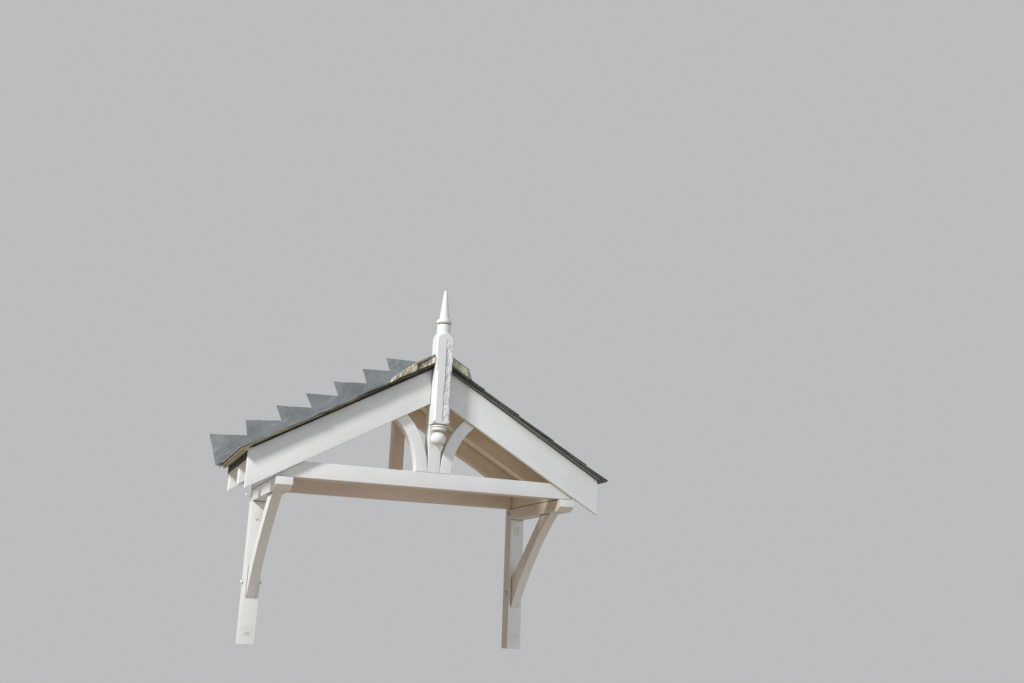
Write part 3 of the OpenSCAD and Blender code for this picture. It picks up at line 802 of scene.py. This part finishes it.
# A rough bar along the slope: an outline of (Y, up) points swept between two distances
def roughBar(side, xIn, xOut, outline, work, seed):
    ring = resampled(outline, work["step"])
    middle = sum(ring) / len(ring)
    stations = np.linspace(xIn, xOut, max(2, int((xOut - xIn) / roof["cos"] / work["step"])))
    points, count = [], len(ring)
    for x in stations:
        for y, up in ring:
            base = onRoof(side, x, up, y)
            inward = Vector((0, middle[0] - y, middle[1] - up)).normalized()
            chew = 0.45 + shiver(base, work["grain"], seed) + 0.4 * shiver(base, work["grain"] / 4, seed)
            points.append(base + inward * work["rough"] * max(chew, 0))
    faces = tubeFaces(len(stations), count)
    for s in (0, len(stations) - 1):
        points.append(onRoof(side, stations[s], middle[1], middle[0]))
        faces += fanFaces(len(points) - 1, s, count)
    return points, faces


# Verge: a row of undercloak slates and the mortar pointed on it
verge = {
    "cloakLow": -0.010, "cloakTop": -0.005,       # the undercloak, square to the slope
    "cloakJoints": {"left": (0.300, 0.405, 0.585), "right": (0.212, 0.359, 0.531)},   # out from the middle
    "cloakGap": 0.0008,               # half of an open joint
    "cloakLift": (0, 0.0026, 0.0010, 0.0020), "cloakIn": (0.001, 0.003, 0, 0.002),
    "cloakWork": {"step": 0.005, "rough": 0.0011, "grain": 0.03},
    "mortarTop": 0.001,
    "mortarWork": {"step": 0.004, "rough": 0.0035, "grain": 0.02},
}


def layVerge(side, name):
    cloakLow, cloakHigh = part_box(f"{name}_undercloak")
    mortarLow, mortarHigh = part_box(f"{name}_verge_mortar")
    inner = min(abs(cloakLow.x), abs(cloakHigh.x))
    low, split, top, gap = verge["cloakLow"], verge["cloakTop"], verge["mortarTop"], verge["cloakGap"]
    stops = [inner, *verge["cloakJoints"][name], roof["boardEnd"]]
    parts = []
    for i, (near, far) in enumerate(zip(stops, stops[1:])):
        lift, front = verge["cloakLift"][i], cloakLow.y + verge["cloakIn"][i]
        strip = [(cloakHigh.y, low + lift), (front, low + lift), (front, split), (cloakHigh.y, split)]
        bar = roughBar(side, near + gap, far - gap, strip, verge["cloakWork"], 5 + side + i)
        parts.append((*bar, 0.25 + 0.2 * i))
    addWorked("laid", f"{name}_undercloak", parts, 35, cloakFinish[name], "slate")
    bed = [(mortarHigh.y, split), (mortarLow.y, split), (mortarLow.y, top), (mortarHigh.y, top)]
    bar = roughBar(side, inner, roof["boardEnd"], bed, verge["mortarWork"], 11 + side)
    addWorked("pointed", f"{name}_verge_mortar", [(*bar, 0.5)], 60, vergeMortar[name], "mortar")


# A strip of mortar under the lowest slates, from front to back
eavesStrip = {
    "in": -0.012, "out": 0.016, "top": 0.0005, "deep": 0.012, "batter": 0.002,
    "front": 0.014, "back": -0.002, "stations": 90, "step": 0.006, "rough": 0.0022,
}


def layEavesStrip(side, name):
    near, far, top, foot = eavesStrip["in"], eavesStrip["out"], eavesStrip["top"], -eavesStrip["deep"]
    ys = np.linspace(roof["front"] + eavesStrip["front"], eavesStrip["back"], eavesStrip["stations"])
    outline = [(near, top), (far, top), (far - eavesStrip["batter"], foot), (near, foot)]
    ring = resampled(outline, eavesStrip["step"])
    points, count = [], len(ring)
    for y in ys:
        for along, up in ring:
            chew = eavesStrip["rough"] * abs(shiver((along, y, up), 0.02, 71 + side))
            points.append(onRoof(side, roof["boardEnd"] + along - chew, min(up + chew, top), y))
    faces = tubeFaces(len(ys), count)
    faces += [tuple(range(count)), tuple((len(ys) - 1) * count + k for k in reversed(range(count)))]
    mesh = joined(f"{name}_eaves_strip", [(points, faces, 0.5)], 60)
    addPiece(f"pointed_{name}_eaves_strip", mesh, eavesMortar[name], "mortar")


for side, name in ((-1, "left"), (1, "right")):
    laySlates(side, name)
    layVerge(side, name)
    layEavesStrip(side, name)
print("slates laid")

# Ridge: two clay angle tiles on a thick bed, with a daub trowelled over the slates at the front
ridge = {
    "wing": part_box("ridge_tiles")[1].x,
    "bed": 0.022,
    "tile": 0.011,
    "gap": 0.0035,                    # open line under the tiles, along their front edge
    "gapDeep": 0.020,
    "smear": 0.003,                   # mortar spread over the tile's front edge, right side
    "fillet": 0.030, "filletOut": 0.022,          # mortar drawn forward against the finial, left side
    "joint": 0.004,                   # between the two tiles
    "tileEnd": -0.0005, "bedEnd": -0.002,         # back ends, along Y
    "uneven": 0.0009, "rag": 0.0025,              # of the tiles' faces and edges
    "fold": 0.012,                    # how round the fold is
    "cell": 0.007,
    "slot": 0.0385,                   # half the notch for the finial
    "slotEnd": -0.609,                # the back of that notch, along Y
    "mortarSet": 0.008,               # mortar behind the tiles' front edge
    "mortarIn": 0.003,                # mortar inside the tiles' side edges
    "overlap": 0.004, "sink": 0.001, "daubSink": 0.003,            # how far mortar runs into what it meets
    "daubDeep": 0.060,
    "daubThick": 0.030,
    "daubToe": 0.009,
    "daubBow": 0.004,                 # how round the top of the daub is
    "hookWide": 0.008, "hookDeep": 0.006,         # the dark hollow at hookPlace
    "voxel": 0.004,
    "mortarRough": 0.0024,
}


def ridgePoint(x, up, y):
    z = onRoof(1, math.hypot(x, ridge["fold"]), up, y).z
    return Vector((x, y, z))


def ridgeTile(near, far, seed, notched):
    spread = list(np.linspace(-ridge["wing"], ridge["wing"], 45)) + [-ridge["slot"], ridge["slot"]]
    places = list(np.linspace(near, far, int((far - near) / ridge["cell"]) + 1))
    if notched:
        places.append(ridge["slotEnd"])
    spread.sort()
    places.sort()

    def pointAt(low, y, x):
        up = roof["pile"] + ridge["bed"] + (ridge["gap"] * (x < 0) if low else ridge["tile"])
        uneven = ridge["uneven"] * shiver((x, y, up * 9), 0.06, seed)
        rag = ridge["rag"] * abs(shiver((x, y, 1), 0.02, seed + 5))
        return ridgePoint(x + endOf(x, spread) * rag, up + uneven - ridge["uneven"],
                          y + endOf(y, places) * rag)

    def inSlot(row, column):
        middle = (spread[column] + spread[column + 1]) / 2
        return notched and places[row] < ridge["slotEnd"] - 1e-6 and abs(middle) < ridge["slot"]

    return sheetOf((0, 1), places, spread, pointAt, inSlot)


def pileTop(d):
    tail = 0
    for gauge in slating["gauges"]:
        if d < tail + gauge:
            break
        tail += gauge
    return roof["pile"] - roof["slate"] * max(d - tail, 0) / gauge


def slopeFrom(x):
    return (roof["half"] - x) / roof["cos"]


def blockBetween(xs, ys, topAt, lowAt, place):
    return sheetOf((topAt, lowAt), ys, xs, lambda upAt, y, x: place(x, upAt(x, y), y))


def voxelled(mesh, size):
    holder = newObject("voxelWork", mesh)
    remesh = holder.modifiers.new("voxels", "REMESH")
    remesh.mode = "VOXEL"
    remesh.voxel_size = size
    made = bpy.data.meshes.new_from_object(holder.evaluated_get(bpy.context.evaluated_depsgraph_get()))
    bpy.data.objects.remove(holder)
    return made


def buildRidge():
    front = roof["front"]
    half = front / 2
    joint = ridge["joint"] / 2
    tiles = [(*ridgeTile(half + joint, ridge["tileEnd"], 7, False), 0.4),
             (*ridgeTile(front, half - joint, 21, True), 0.6)]
    addWorked("bedded", "ridge_tiles", tiles, 35, clay, "ridge_clay")
    bedTop = roof["pile"] + ridge["bed"]
    wing = ridge["wing"] - ridge["mortarIn"]
    face = front + ridge["mortarSet"]
    inner = np.linspace(ridge["slotEnd"], ridge["bedEnd"], 60)
    outer = np.linspace(face, ridge["slotEnd"] + ridge["overlap"], 16)
    slot = ridge["slot"] + 0.001
    smeared = np.linspace(front - ridge["smear"], face + ridge["overlap"], 8)
    parts = []

    def bedUp(x, y):
        return bedTop + ridge["gap"] * (y > front + ridge["gapDeep"] or x > 0)

    def smearUp(x, y):
        return bedTop + ridge["tile"] * (0.75 - 0.35 * (x - slot) / (wing - slot))

    def filletPoint(x, up, y):
        near = max(0, 1 - (abs(x) - slot) / ridge["fillet"])
        share = (y - outer[-1]) / (outer[0] - outer[-1])
        return ridgePoint(x, up, y - ridge["filletOut"] * near * near * share)

    for xs, ys, topAt, place in (
            (np.linspace(-wing, wing, 41), inner, bedUp, ridgePoint),
            (np.linspace(slot, wing, 14), outer, bedUp, ridgePoint),
            (np.linspace(slot, wing, 14), smeared, smearUp, ridgePoint),
            (np.linspace(-wing, -slot, 40), outer, bedUp, filletPoint)):
        block = blockBetween(xs, ys, topAt, lambda x, y: pileTop(slopeFrom(abs(x))) - ridge["sink"], place)
        parts.append((*block, 0.5))
    for side, end in zip((-1, 1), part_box("ridge_mortar")):
        reach = abs(end.x) - 0.001
        xs = np.linspace(ridge["wing"] - 0.012, reach, 30)
        ys = np.linspace(face, face + ridge["daubDeep"], 12)

        def daubTop(x, y):
            share = min((reach - x) / (reach - ridge["wing"]), 1)
            back = (y - face) / ridge["daubDeep"]
            thick = ridge["daubToe"] + (ridge["daubThick"] - ridge["daubToe"]) * share
            return roof["pile"] + (thick + ridge["daubBow"] * 4 * share * (1 - share)) * (1 - back ** 2)

        block = blockBetween(xs, ys, daubTop, lambda x, y: pileTop(slopeFrom(x)) - ridge["daubSink"],
                             lambda x, up, y: onRoof(side, x, up, y))
        parts.append((*block, 0.5))
    mesh = voxelled(joined("ridge_mortar", parts), ridge["voxel"])
    where = corners(mesh)
    normals = np.array([v.normal for v in mesh.vertices])
    chew = np.array([0.35 + shiver(p, 0.03, 4) + 0.5 * shiver(p, 0.009, 8) for p in where])
    where -= normals * (ridge["mortarRough"] * np.clip(chew, -0.1, 2))[:, None]
    dent = np.clip(1 - np.abs(where[:, 0] + hookPlace) / ridge["hookWide"], 0, 1)
    where[:, 1] += ridge["hookDeep"] * dent * (where[:, 1] < face + 0.02)
    mesh.vertices.foreach_set("co", where.astype(np.float32).ravel())
    shadeBy(mesh, 180)
    addPiece("trowelled_ridge_mortar", mesh, ridgeMortar, "mortar", "ridge_mortar")


buildRidge()
print("ridge bedded")

# Leadwork: aprons dressed over the slates, a stepped sheet that stands up behind them, a saddle on the ridge
leadwork = {
    "sheet": 0.0025,
    "lift": 0.0008,                   # hollows left under the dressed lead
    "cell": 0.007,
    "clear": 0.0006,                  # lead above the slates it lies on
    "past": 0.0035,                   # how far an apron reaches past the slates
    "apronEnd": -0.0028,              # the back edge of an apron, along Y
    "roll": 0.0022, "rollWide": 0.010,            # an apron's front edge is turned down
    "apronRag": 0.0025, "saddleRag": 0.003, "stepRag": 0.0016,     # how uneven the cut edges are
    "stepCell": 0.010,
    "wave": 0.0026, "curl": 0.0012,   # how far the stepped sheet stands forward, in waves and finer
    "edgeHeld": 0.03,                 # width along its edges in which the waves die out
    "noses": ((0.078, 0.679), (0.196, 0.606), (0.337, 0.524), (0.466, 0.449),    # out from the middle, up
              (0.602, 0.374), (0.738, 0.290), (0.893, 0.206)),
    "feet": ((0.054, 0.613), (0.169, 0.535), (0.306, 0.454), (0.431, 0.381), (0.570, 0.303), (0.725, 0.217)),
    "lastFoot": 0.850,
}


def dressedUp(d):
    near = [pileTop(max(d + shift, 0)) for shift in (-0.012, -0.008, -0.004, 0, 0.004, 0.008, 0.012)]
    return 0.5 * max(near) + 0.5 * sum(near) / len(near) + leadwork["clear"]


def layApron(side, name):
    low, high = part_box(f"{name}_lead_apron")
    inner = min(abs(low.x), abs(high.x))
    outer = roof["half"] + leadwork["past"]
    xs = np.linspace(inner, outer, int((outer - inner) / leadwork["cell"]))
    ys = np.linspace(low.y, leadwork["apronEnd"], int(-low.y / leadwork["cell"]))

    def pointAt(raised, x, y):
        wave = leadwork["lift"] * (0.6 + shiver((x, y, side), 0.09, 31))
        rolled = leadwork["roll"] * max(0, 1 - (y - low.y) / leadwork["rollWide"])
        rag = leadwork["apronRag"] * shiver((x, 0, side), 0.08, 33) if y == ys[0] else 0
        return onRoof(side, x, dressedUp(slopeFrom(x)) + wave + raised - rolled, y + rag)

    sheet = sheetOf((leadwork["sheet"], 0), xs, ys, pointAt)
    addWorked("dressed", f"{name}_lead_apron", [(*sheet, 0.5)], 40, lead, "lead")


def inside(point, outline):
    crossings = 0
    for (x1, y1), (x2, y2) in zip(outline, outline[1:] + outline[:1]):
        if (y1 > point[1]) != (y2 > point[1]):
            crossings += point[0] < x1 + (point[1] - y1) / (y2 - y1) * (x2 - x1)
    return crossings % 2 == 1


def gapTo(point, line):
    spans = np.roll(line, -1, 0) - line
    share = np.clip(((point - line) * spans).sum(1) / (spans ** 2).sum(1), 0, 1)
    return np.linalg.norm(line + spans * share[:, None] - point, axis=1).min()


# Triangles that fill an outline evenly
def filled(outline, step):
    border = np.array(resampled(outline, step))
    low, high = border.min(0), border.max(0)
    inner = []
    for j, v in enumerate(np.arange(low[1], high[1], step * 0.87)):
        for u in np.arange(low[0] + (j % 2) * step / 2, high[0], step):
            if inside((u, v), outline) and gapTo(np.array((u, v)), border) > step * 0.55:
                inner.append((u, v))
    points = [Vector(p) for p in border] + [Vector(p) for p in inner]
    made = delaunay_2d_cdt(points, [], [list(range(len(border)))], 1, 1e-7)
    return [tuple(p) for p in made[0]], [tuple(face) for face in made[2]]


def steppedOutline(name):
    low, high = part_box(f"{name}_stepped_flashing")
    sheet = roof["pile"] + leadwork["sheet"]
    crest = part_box("ridge_tiles")[1].z
    reach = max(abs(low.x), abs(high.x)) - 0.0005
    outline = [(0.0, crest), (0.0, leadwork["noses"][0][1])]
    for nose, foot in zip(leadwork["noses"], leadwork["feet"] + (None,)):
        outline.append((min(nose[0], reach), min(nose[1], high.z)))
        outline += [foot] if foot else []
    outline.append((leadwork["lastFoot"], onRoof(1, leadwork["lastFoot"], sheet, 0).z))
    wing = ridge["wing"]
    outline += [(wing, onRoof(1, wing, sheet, 0).z),
                (wing, onRoof(1, wing, roof["pile"] + ridge["bed"] + ridge["tile"], 0).z)]
    return outline[::-1]


def layStepped(side, name):
    low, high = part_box(f"{name}_stepped_flashing")
    reach = max(abs(low.x), abs(high.x)) - 0.0002
    outline = steppedOutline(name)
    flat, faces = filled(outline, leadwork["stepCell"])
    border = np.array(resampled(outline, leadwork["stepCell"]))
    front, back = [], []
    for u, v in flat:
        free = min(gapTo(np.array((u, v)), border) / leadwork["edgeHeld"], 1)
        wave = leadwork["wave"] * (0.45 + shiver((u, v, side), 0.10, 41)) * free
        curl = leadwork["curl"] * abs(shiver((u, v, 3 * side), 0.05, 43))
        rag = leadwork["stepRag"] * shiver((u, v, side), 0.05, 45) * (free < 0.05)
        across, rise = min(u + rag, reach), min(v + rag, high.z - 0.0002)
        front.append((side * across, -leadwork["sheet"] - max(wave, 0) - curl, rise))
        back.append((side * across, -0.0001 - max(wave, 0) - curl, rise))
    parts = [(*solidFrom(faces, front, back), 0.5)]
    addWorked("dressed", f"{name}_stepped_flashing", parts, 40, lead, "lead")


def laySaddle():
    low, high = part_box("lead_saddle")
    over = roof["pile"] + ridge["bed"] + ridge["tile"]
    xs = np.linspace(low.x, high.x, 41)
    ys = np.linspace(low.y, high.y - 0.001, 24)

    def pointAt(raised, x, y):
        wave = leadwork["lift"] * (0.6 + shiver((x, y, 4), 0.07, 51))
        rag = leadwork["saddleRag"] * shiver((x, 0, 4), 0.06, 53) if y == ys[0] else 0
        return ridgePoint(x, over + raised + wave * 0.6, y + rag)

    sheet = sheetOf((leadwork["sheet"], 0.0002), xs, ys, pointAt)
    addWorked("dressed", "lead_saddle", [(*sheet, 0.5)], 40, lead, "lead")


for side, name in ((-1, "left"), (1, "right")):
    layApron(side, name)
    layStepped(side, name)
laySaddle()
print("lead dressed")

# Finial: turned ends and a square, chamfered stock, with a long split and flaked paint on its right half
finialLow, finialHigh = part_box("finial")
finial = {
    "top": finialHigh.z,
    "half": finialHigh.x,
    "middle": (finialLow.y + finialHigh.y) / 2,
    "tip": 0.014, "spire": 0.138, "spireWide": 0.046,
    "collarWide": 0.070, "collar": 0.024,
    "barrelWide": 0.062, "barrel": 0.042,
    "shoulder": 0.042, "shoulderBow": 0.005,
    "block": 0.130, "shaft": 0.246, "chamfer": 0.008, "footShoulder": 0.012,
    "beads": 0.028, "beadWide": 0.070,
    "dropWide": 0.068, "drop": 0.062,
    "arris": 0.0013,                  # wear of the square edges
    "ring": 0.0024,                   # spacing of the mesh up the finial
    "sector": 40, "bevel": 9,         # points across one face, and across a chamfer
    "fanTurn": 6.5, "fanWide": 8, "fanPoints": 45,     # finer mesh round the split, in degrees
    # The split and the flaked paint beside it, between heights in the frame of the model
    "splitTop": 0.625, "splitFoot": 0.245, "splitDeep": 0.008, "splitWide": 0.0021,
    "splitHigh": 0.0062, "splitLow": 0.0024, "splitTurn": 0.40,     # off the middle, above and below a height
    "splitFade": 0.03,                # height over which the split opens and closes
    "splitSway": 0.0016, "swayLong": 0.045,       # how far the split wanders, and over what height
    "flakeTop": 0.622, "flakeFoot": 0.236, "flakeDeep": 0.0011, "curl": 0.0016,
}


def bowedLine(start, end, bow, parts=12):
    (r1, z1), (r2, z2) = start, end
    run = math.hypot(r2 - r1, z2 - z1)
    side = (-(z2 - z1) / run, (r2 - r1) / run)
    line = []
    for i in range(parts + 1):
        t = i / parts
        line.append((r1 + (r2 - r1) * t + side[0] * bow * 4 * t * (1 - t),
                     z1 + (z2 - z1) * t + side[1] * bow * 4 * t * (1 - t)))
    return line


def arcLine(centre, wide, tall, start, end, parts):
    turns = [math.radians(start + (end - start) * i / parts) for i in range(parts + 1)]
    return [(centre[0] + wide * math.cos(a), centre[1] + tall * math.sin(a)) for a in turns]


# Heights down the finial, each from the one above
height = finial["top"]
for place, part in (("spireFoot", "spire"), ("collarFoot", "collar"), ("barrelFoot", "barrel"),
                    ("blockTop", "shoulder"), ("blockFoot", "block"), ("shaftFoot", "shaft"),
                    ("dropTop", "beads")):
    height -= finial[part]
    finial[place] = height


def finialProfile():
    collarFoot, shaftFoot, dropTop = finial["collarFoot"], finial["shaftFoot"], finial["dropTop"]
    rim = finial["collar"] / 2
    groove = finial["collar"] / 8
    reach = finial["half"] * math.sqrt(2) + 0.001
    bead = finial["beads"] / 6
    neck = finial["beadWide"] / 2 - bead
    tip = finial["tip"]
    barrel = finial["barrelWide"] / 2
    line = [(0.0005, finial["top"]), (tip / 4, finial["top"]), (tip / 2, finial["top"] - tip / 4)]
    line += [(finial["spireWide"] / 2, finial["spireFoot"] + groove)]
    line += arcLine((finial["collarWide"] / 2 - rim, collarFoot + rim), rim, rim, 90, -90, 14)
    line += [(barrel - groove, collarFoot - groove / 2), (barrel, collarFoot - groove)]
    line += bowedLine((barrel, finial["barrelFoot"]), (reach, finial["blockTop"]), finial["shoulderBow"])
    line += bowedLine((reach, shaftFoot + finial["footShoulder"]), (neck, shaftFoot),
                      finial["shoulderBow"] / 2, 6)
    for share in (3, 1):
        line += arcLine((neck, dropTop + share * finial["beads"] / 4), bead, bead, 90, -90, 10)
    line += [(finial["dropWide"] / 4, dropTop)]
    line += arcLine((0, dropTop - finial["drop"] / 2), finial["dropWide"] / 2, finial["drop"] / 2,
                    60, -89, 30)
    fine = [line[0]]
    for (r1, z1), (r2, z2) in zip(line, line[1:]):
        parts = max(1, int(math.hypot(r2 - r1, z2 - z1) / finial["ring"]))
        fine += [(r1 + (r2 - r1) * i / parts, z1 + (z2 - z1) * i / parts) for i in range(1, parts + 1)]
    return fine


def finialTurns():
    arris = math.atan((finial["half"] - finial["chamfer"]) / finial["half"])
    bevel, wide = finial["bevel"], finial["fanWide"]
    quarter = [*np.linspace(-math.pi / 4, -arris, bevel)[:-1],
               *np.linspace(-arris, arris, finial["sector"] - 2 * bevel + 1),
               *np.linspace(arris, math.pi / 4, bevel + 1)[1:-1]]
    turns = [a + face * math.pi / 2 for face in range(4) for a in quarter]
    split = math.radians(finial["fanTurn"])
    fan = [split + math.radians(a) for a in np.linspace(-wide, wide, finial["fanPoints"])]
    return sorted(turns + fan)                # 0 looks to the front, more turns to the right


def carveFinial():
    profile = finialProfile()
    turns = finialTurns()
    half, corner = finial["half"], finial["half"] * math.sqrt(2)
    low = finial["shaftFoot"] + finial["footShoulder"] + finial["chamfer"]
    high = finial["blockFoot"] - finial["chamfer"]
    fade = finial["splitFade"]
    points, bare = [], []
    for r, z in profile:
        cut = corner - finial["chamfer"] / math.sqrt(2) + max(0, low - z, z - high)
        cut = min(cut, corner - finial["arris"])
        sway = finial["splitSway"] * noise.noise(Vector((0, 3.3, z / finial["swayLong"])))
        bend = min(max((z - finial["splitTurn"] + fade) / (2 * fade), 0), 1)
        sway += finial["splitLow"] + (finial["splitHigh"] - finial["splitLow"]) * bend
        inSplit = min(max((finial["splitTop"] - z) / fade, 0), max((z - finial["splitFoot"]) / fade, 0), 1)
        inFlake = min(max((finial["flakeTop"] - z) / 0.01, 0), max((z - finial["flakeFoot"]) / 0.02, 0), 1)
        for turn in turns:
            face = (turn + math.pi / 4) % (math.pi / 2) - math.pi / 4
            skew = math.pi / 4 - abs(face)
            radius = min(r, half / math.cos(face), cut / math.cos(skew))
            x, y = radius * math.sin(turn), -radius * math.cos(turn)
            gone = 0
            if inFlake and 0 < turn < 1.9:
                lace = shiver((x * 1.3, y, z * 0.7), 0.018, 61) + 0.5 * shiver((x, y, z), 0.005, 62)
                near = min(max((x - sway) / 0.004, 0), 1)
                gone = min(max((lace * 1.6 - 0.30 + 0.16 * near) / 0.12, 0), 1) * inFlake * near
                radius -= finial["flakeDeep"] * gone
                radius -= finial["curl"] * near * inFlake * (0.5 + shiver((x, y, z), 0.014, 63))
            away = abs(x - sway)
            if inSplit and y < 0 and away < finial["splitWide"]:
                radius -= finial["splitDeep"] * inSplit * (1 - away / finial["splitWide"])
                gone = 1
            radius = min(radius + 0.00025 * shiver((x, y, z), 0.02, 64), half / math.cos(face))
            points.append((radius * math.sin(turn), finial["middle"] - radius * math.cos(turn), z))
            bare.append(gone)
    rings, count = len(profile), len(turns)
    faces = tubeFaces(rings, count)
    points += [(0, finial["middle"], z) for z in (finial["top"], finial["dropTop"] - finial["drop"])]
    bare += [0, 0]
    faces += fanFaces(len(points) - 2, 0, count) + fanFaces(len(points) - 1, rings - 1, count)
    mesh = joined("finial", [(points, faces, 0.5)], 38)
    setPoints(mesh, "bare", bare)
    grainAlong(mesh, upright, 77)
    addPiece("carved_finial", mesh, finialPaint, "finial_paint", "finial")


carveFinial()
print("finial carved")

# Filler over the fixings of the posts: patches a little proud of the paint, some with a crack or a rust mark
fixings = {
    "proud": 0.0009, "deep": 0.001, "flare": 1.02, "corner": 0.004, "cell": 0.002,
    "crack": 0.0022,                  # how wide the open edge of a patch is
    # A blot is its place from the middle of a patch, half its width and height, and its share
    "patches": (
        {"name": "left_top", "side": -1, "down": 0.068, "wide": 0.026, "tall": 0.042,
         "blot": (-0.002, -0.017, 0.007, 0.004, 1)},
        {"name": "left_foot", "side": -1, "down": 0.574, "wide": 0.036, "tall": 0.036,
         "blot": (0.003, -0.009, 0.014, 0.005, 0.6)},
        {"name": "right_top", "side": 1, "down": 0.060, "wide": 0.032, "tall": 0.040, "cracked": 0.75},
        {"name": "right_foot", "side": 1, "down": 0.575, "wide": 0.030, "tall": 0.034},
    ),
}


# How far a mark goes at a point of a patch, u and v from its middle
def markAt(patch, u, v):
    if "blot" in patch:
        across, rise, wide, tall, share = patch["blot"]
        return share * max(0, 1 - math.hypot((u - across) / wide, (v - rise) / tall)) ** 0.5
    if "cracked" in patch:
        near = min(patch["tall"] / 2 - v, (u + patch["wide"] / 2) * 1.3)
        return patch["cracked"] * max(0, 1 - near / fixings["crack"])
    return 0


def addFixing(patch, seed):
    low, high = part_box("left_wall_post" if patch["side"] < 0 else "right_wall_post")
    middle = (low.x + high.x) / 2
    outline = []
    for a, b in ((-1, -1), (1, -1), (1, 1), (-1, 1)):
        cx = a * (patch["wide"] / 2 - fixings["corner"])
        cz = b * (patch["tall"] / 2 - fixings["corner"])
        start = math.atan2(b, a) - math.pi / 4
        outline += [(cx + fixings["corner"] * math.cos(start + t * math.pi / 8),
                     cz + fixings["corner"] * math.sin(start + t * math.pi / 8)) for t in range(5)]
    flat, faces = filled(outline, fixings["cell"])
    front, back, bare = [], [], []
    for u, v in flat:
        mark = markAt(patch, u, v)
        dome = fixings["proud"] * (0.75 + 0.5 * shiver((u, v, patch["side"]), 0.012, seed)) * (1 - 0.6 * mark)
        front.append((middle + u, low.y - dome, high.z - patch["down"] + v))
        back.append((middle + u * fixings["flare"], low.y + fixings["deep"],
                     high.z - patch["down"] + v * fixings["flare"]))
        bare.append(mark)
    mesh = joined(f"{patch['name']}_filler", [(*solidFrom(faces, front, back), 0.5)], 50)
    setPoints(mesh, "bare", bare + bare)
    grainAlong(mesh, upright, seed)
    return addPiece(f"{patch['name']}_fixing_filler", mesh, fillerPaint, "bracket_paint")


for seed, patch in enumerate(fixings["patches"]):
    addFixing(patch, 81 + seed)
print("fixings filled")
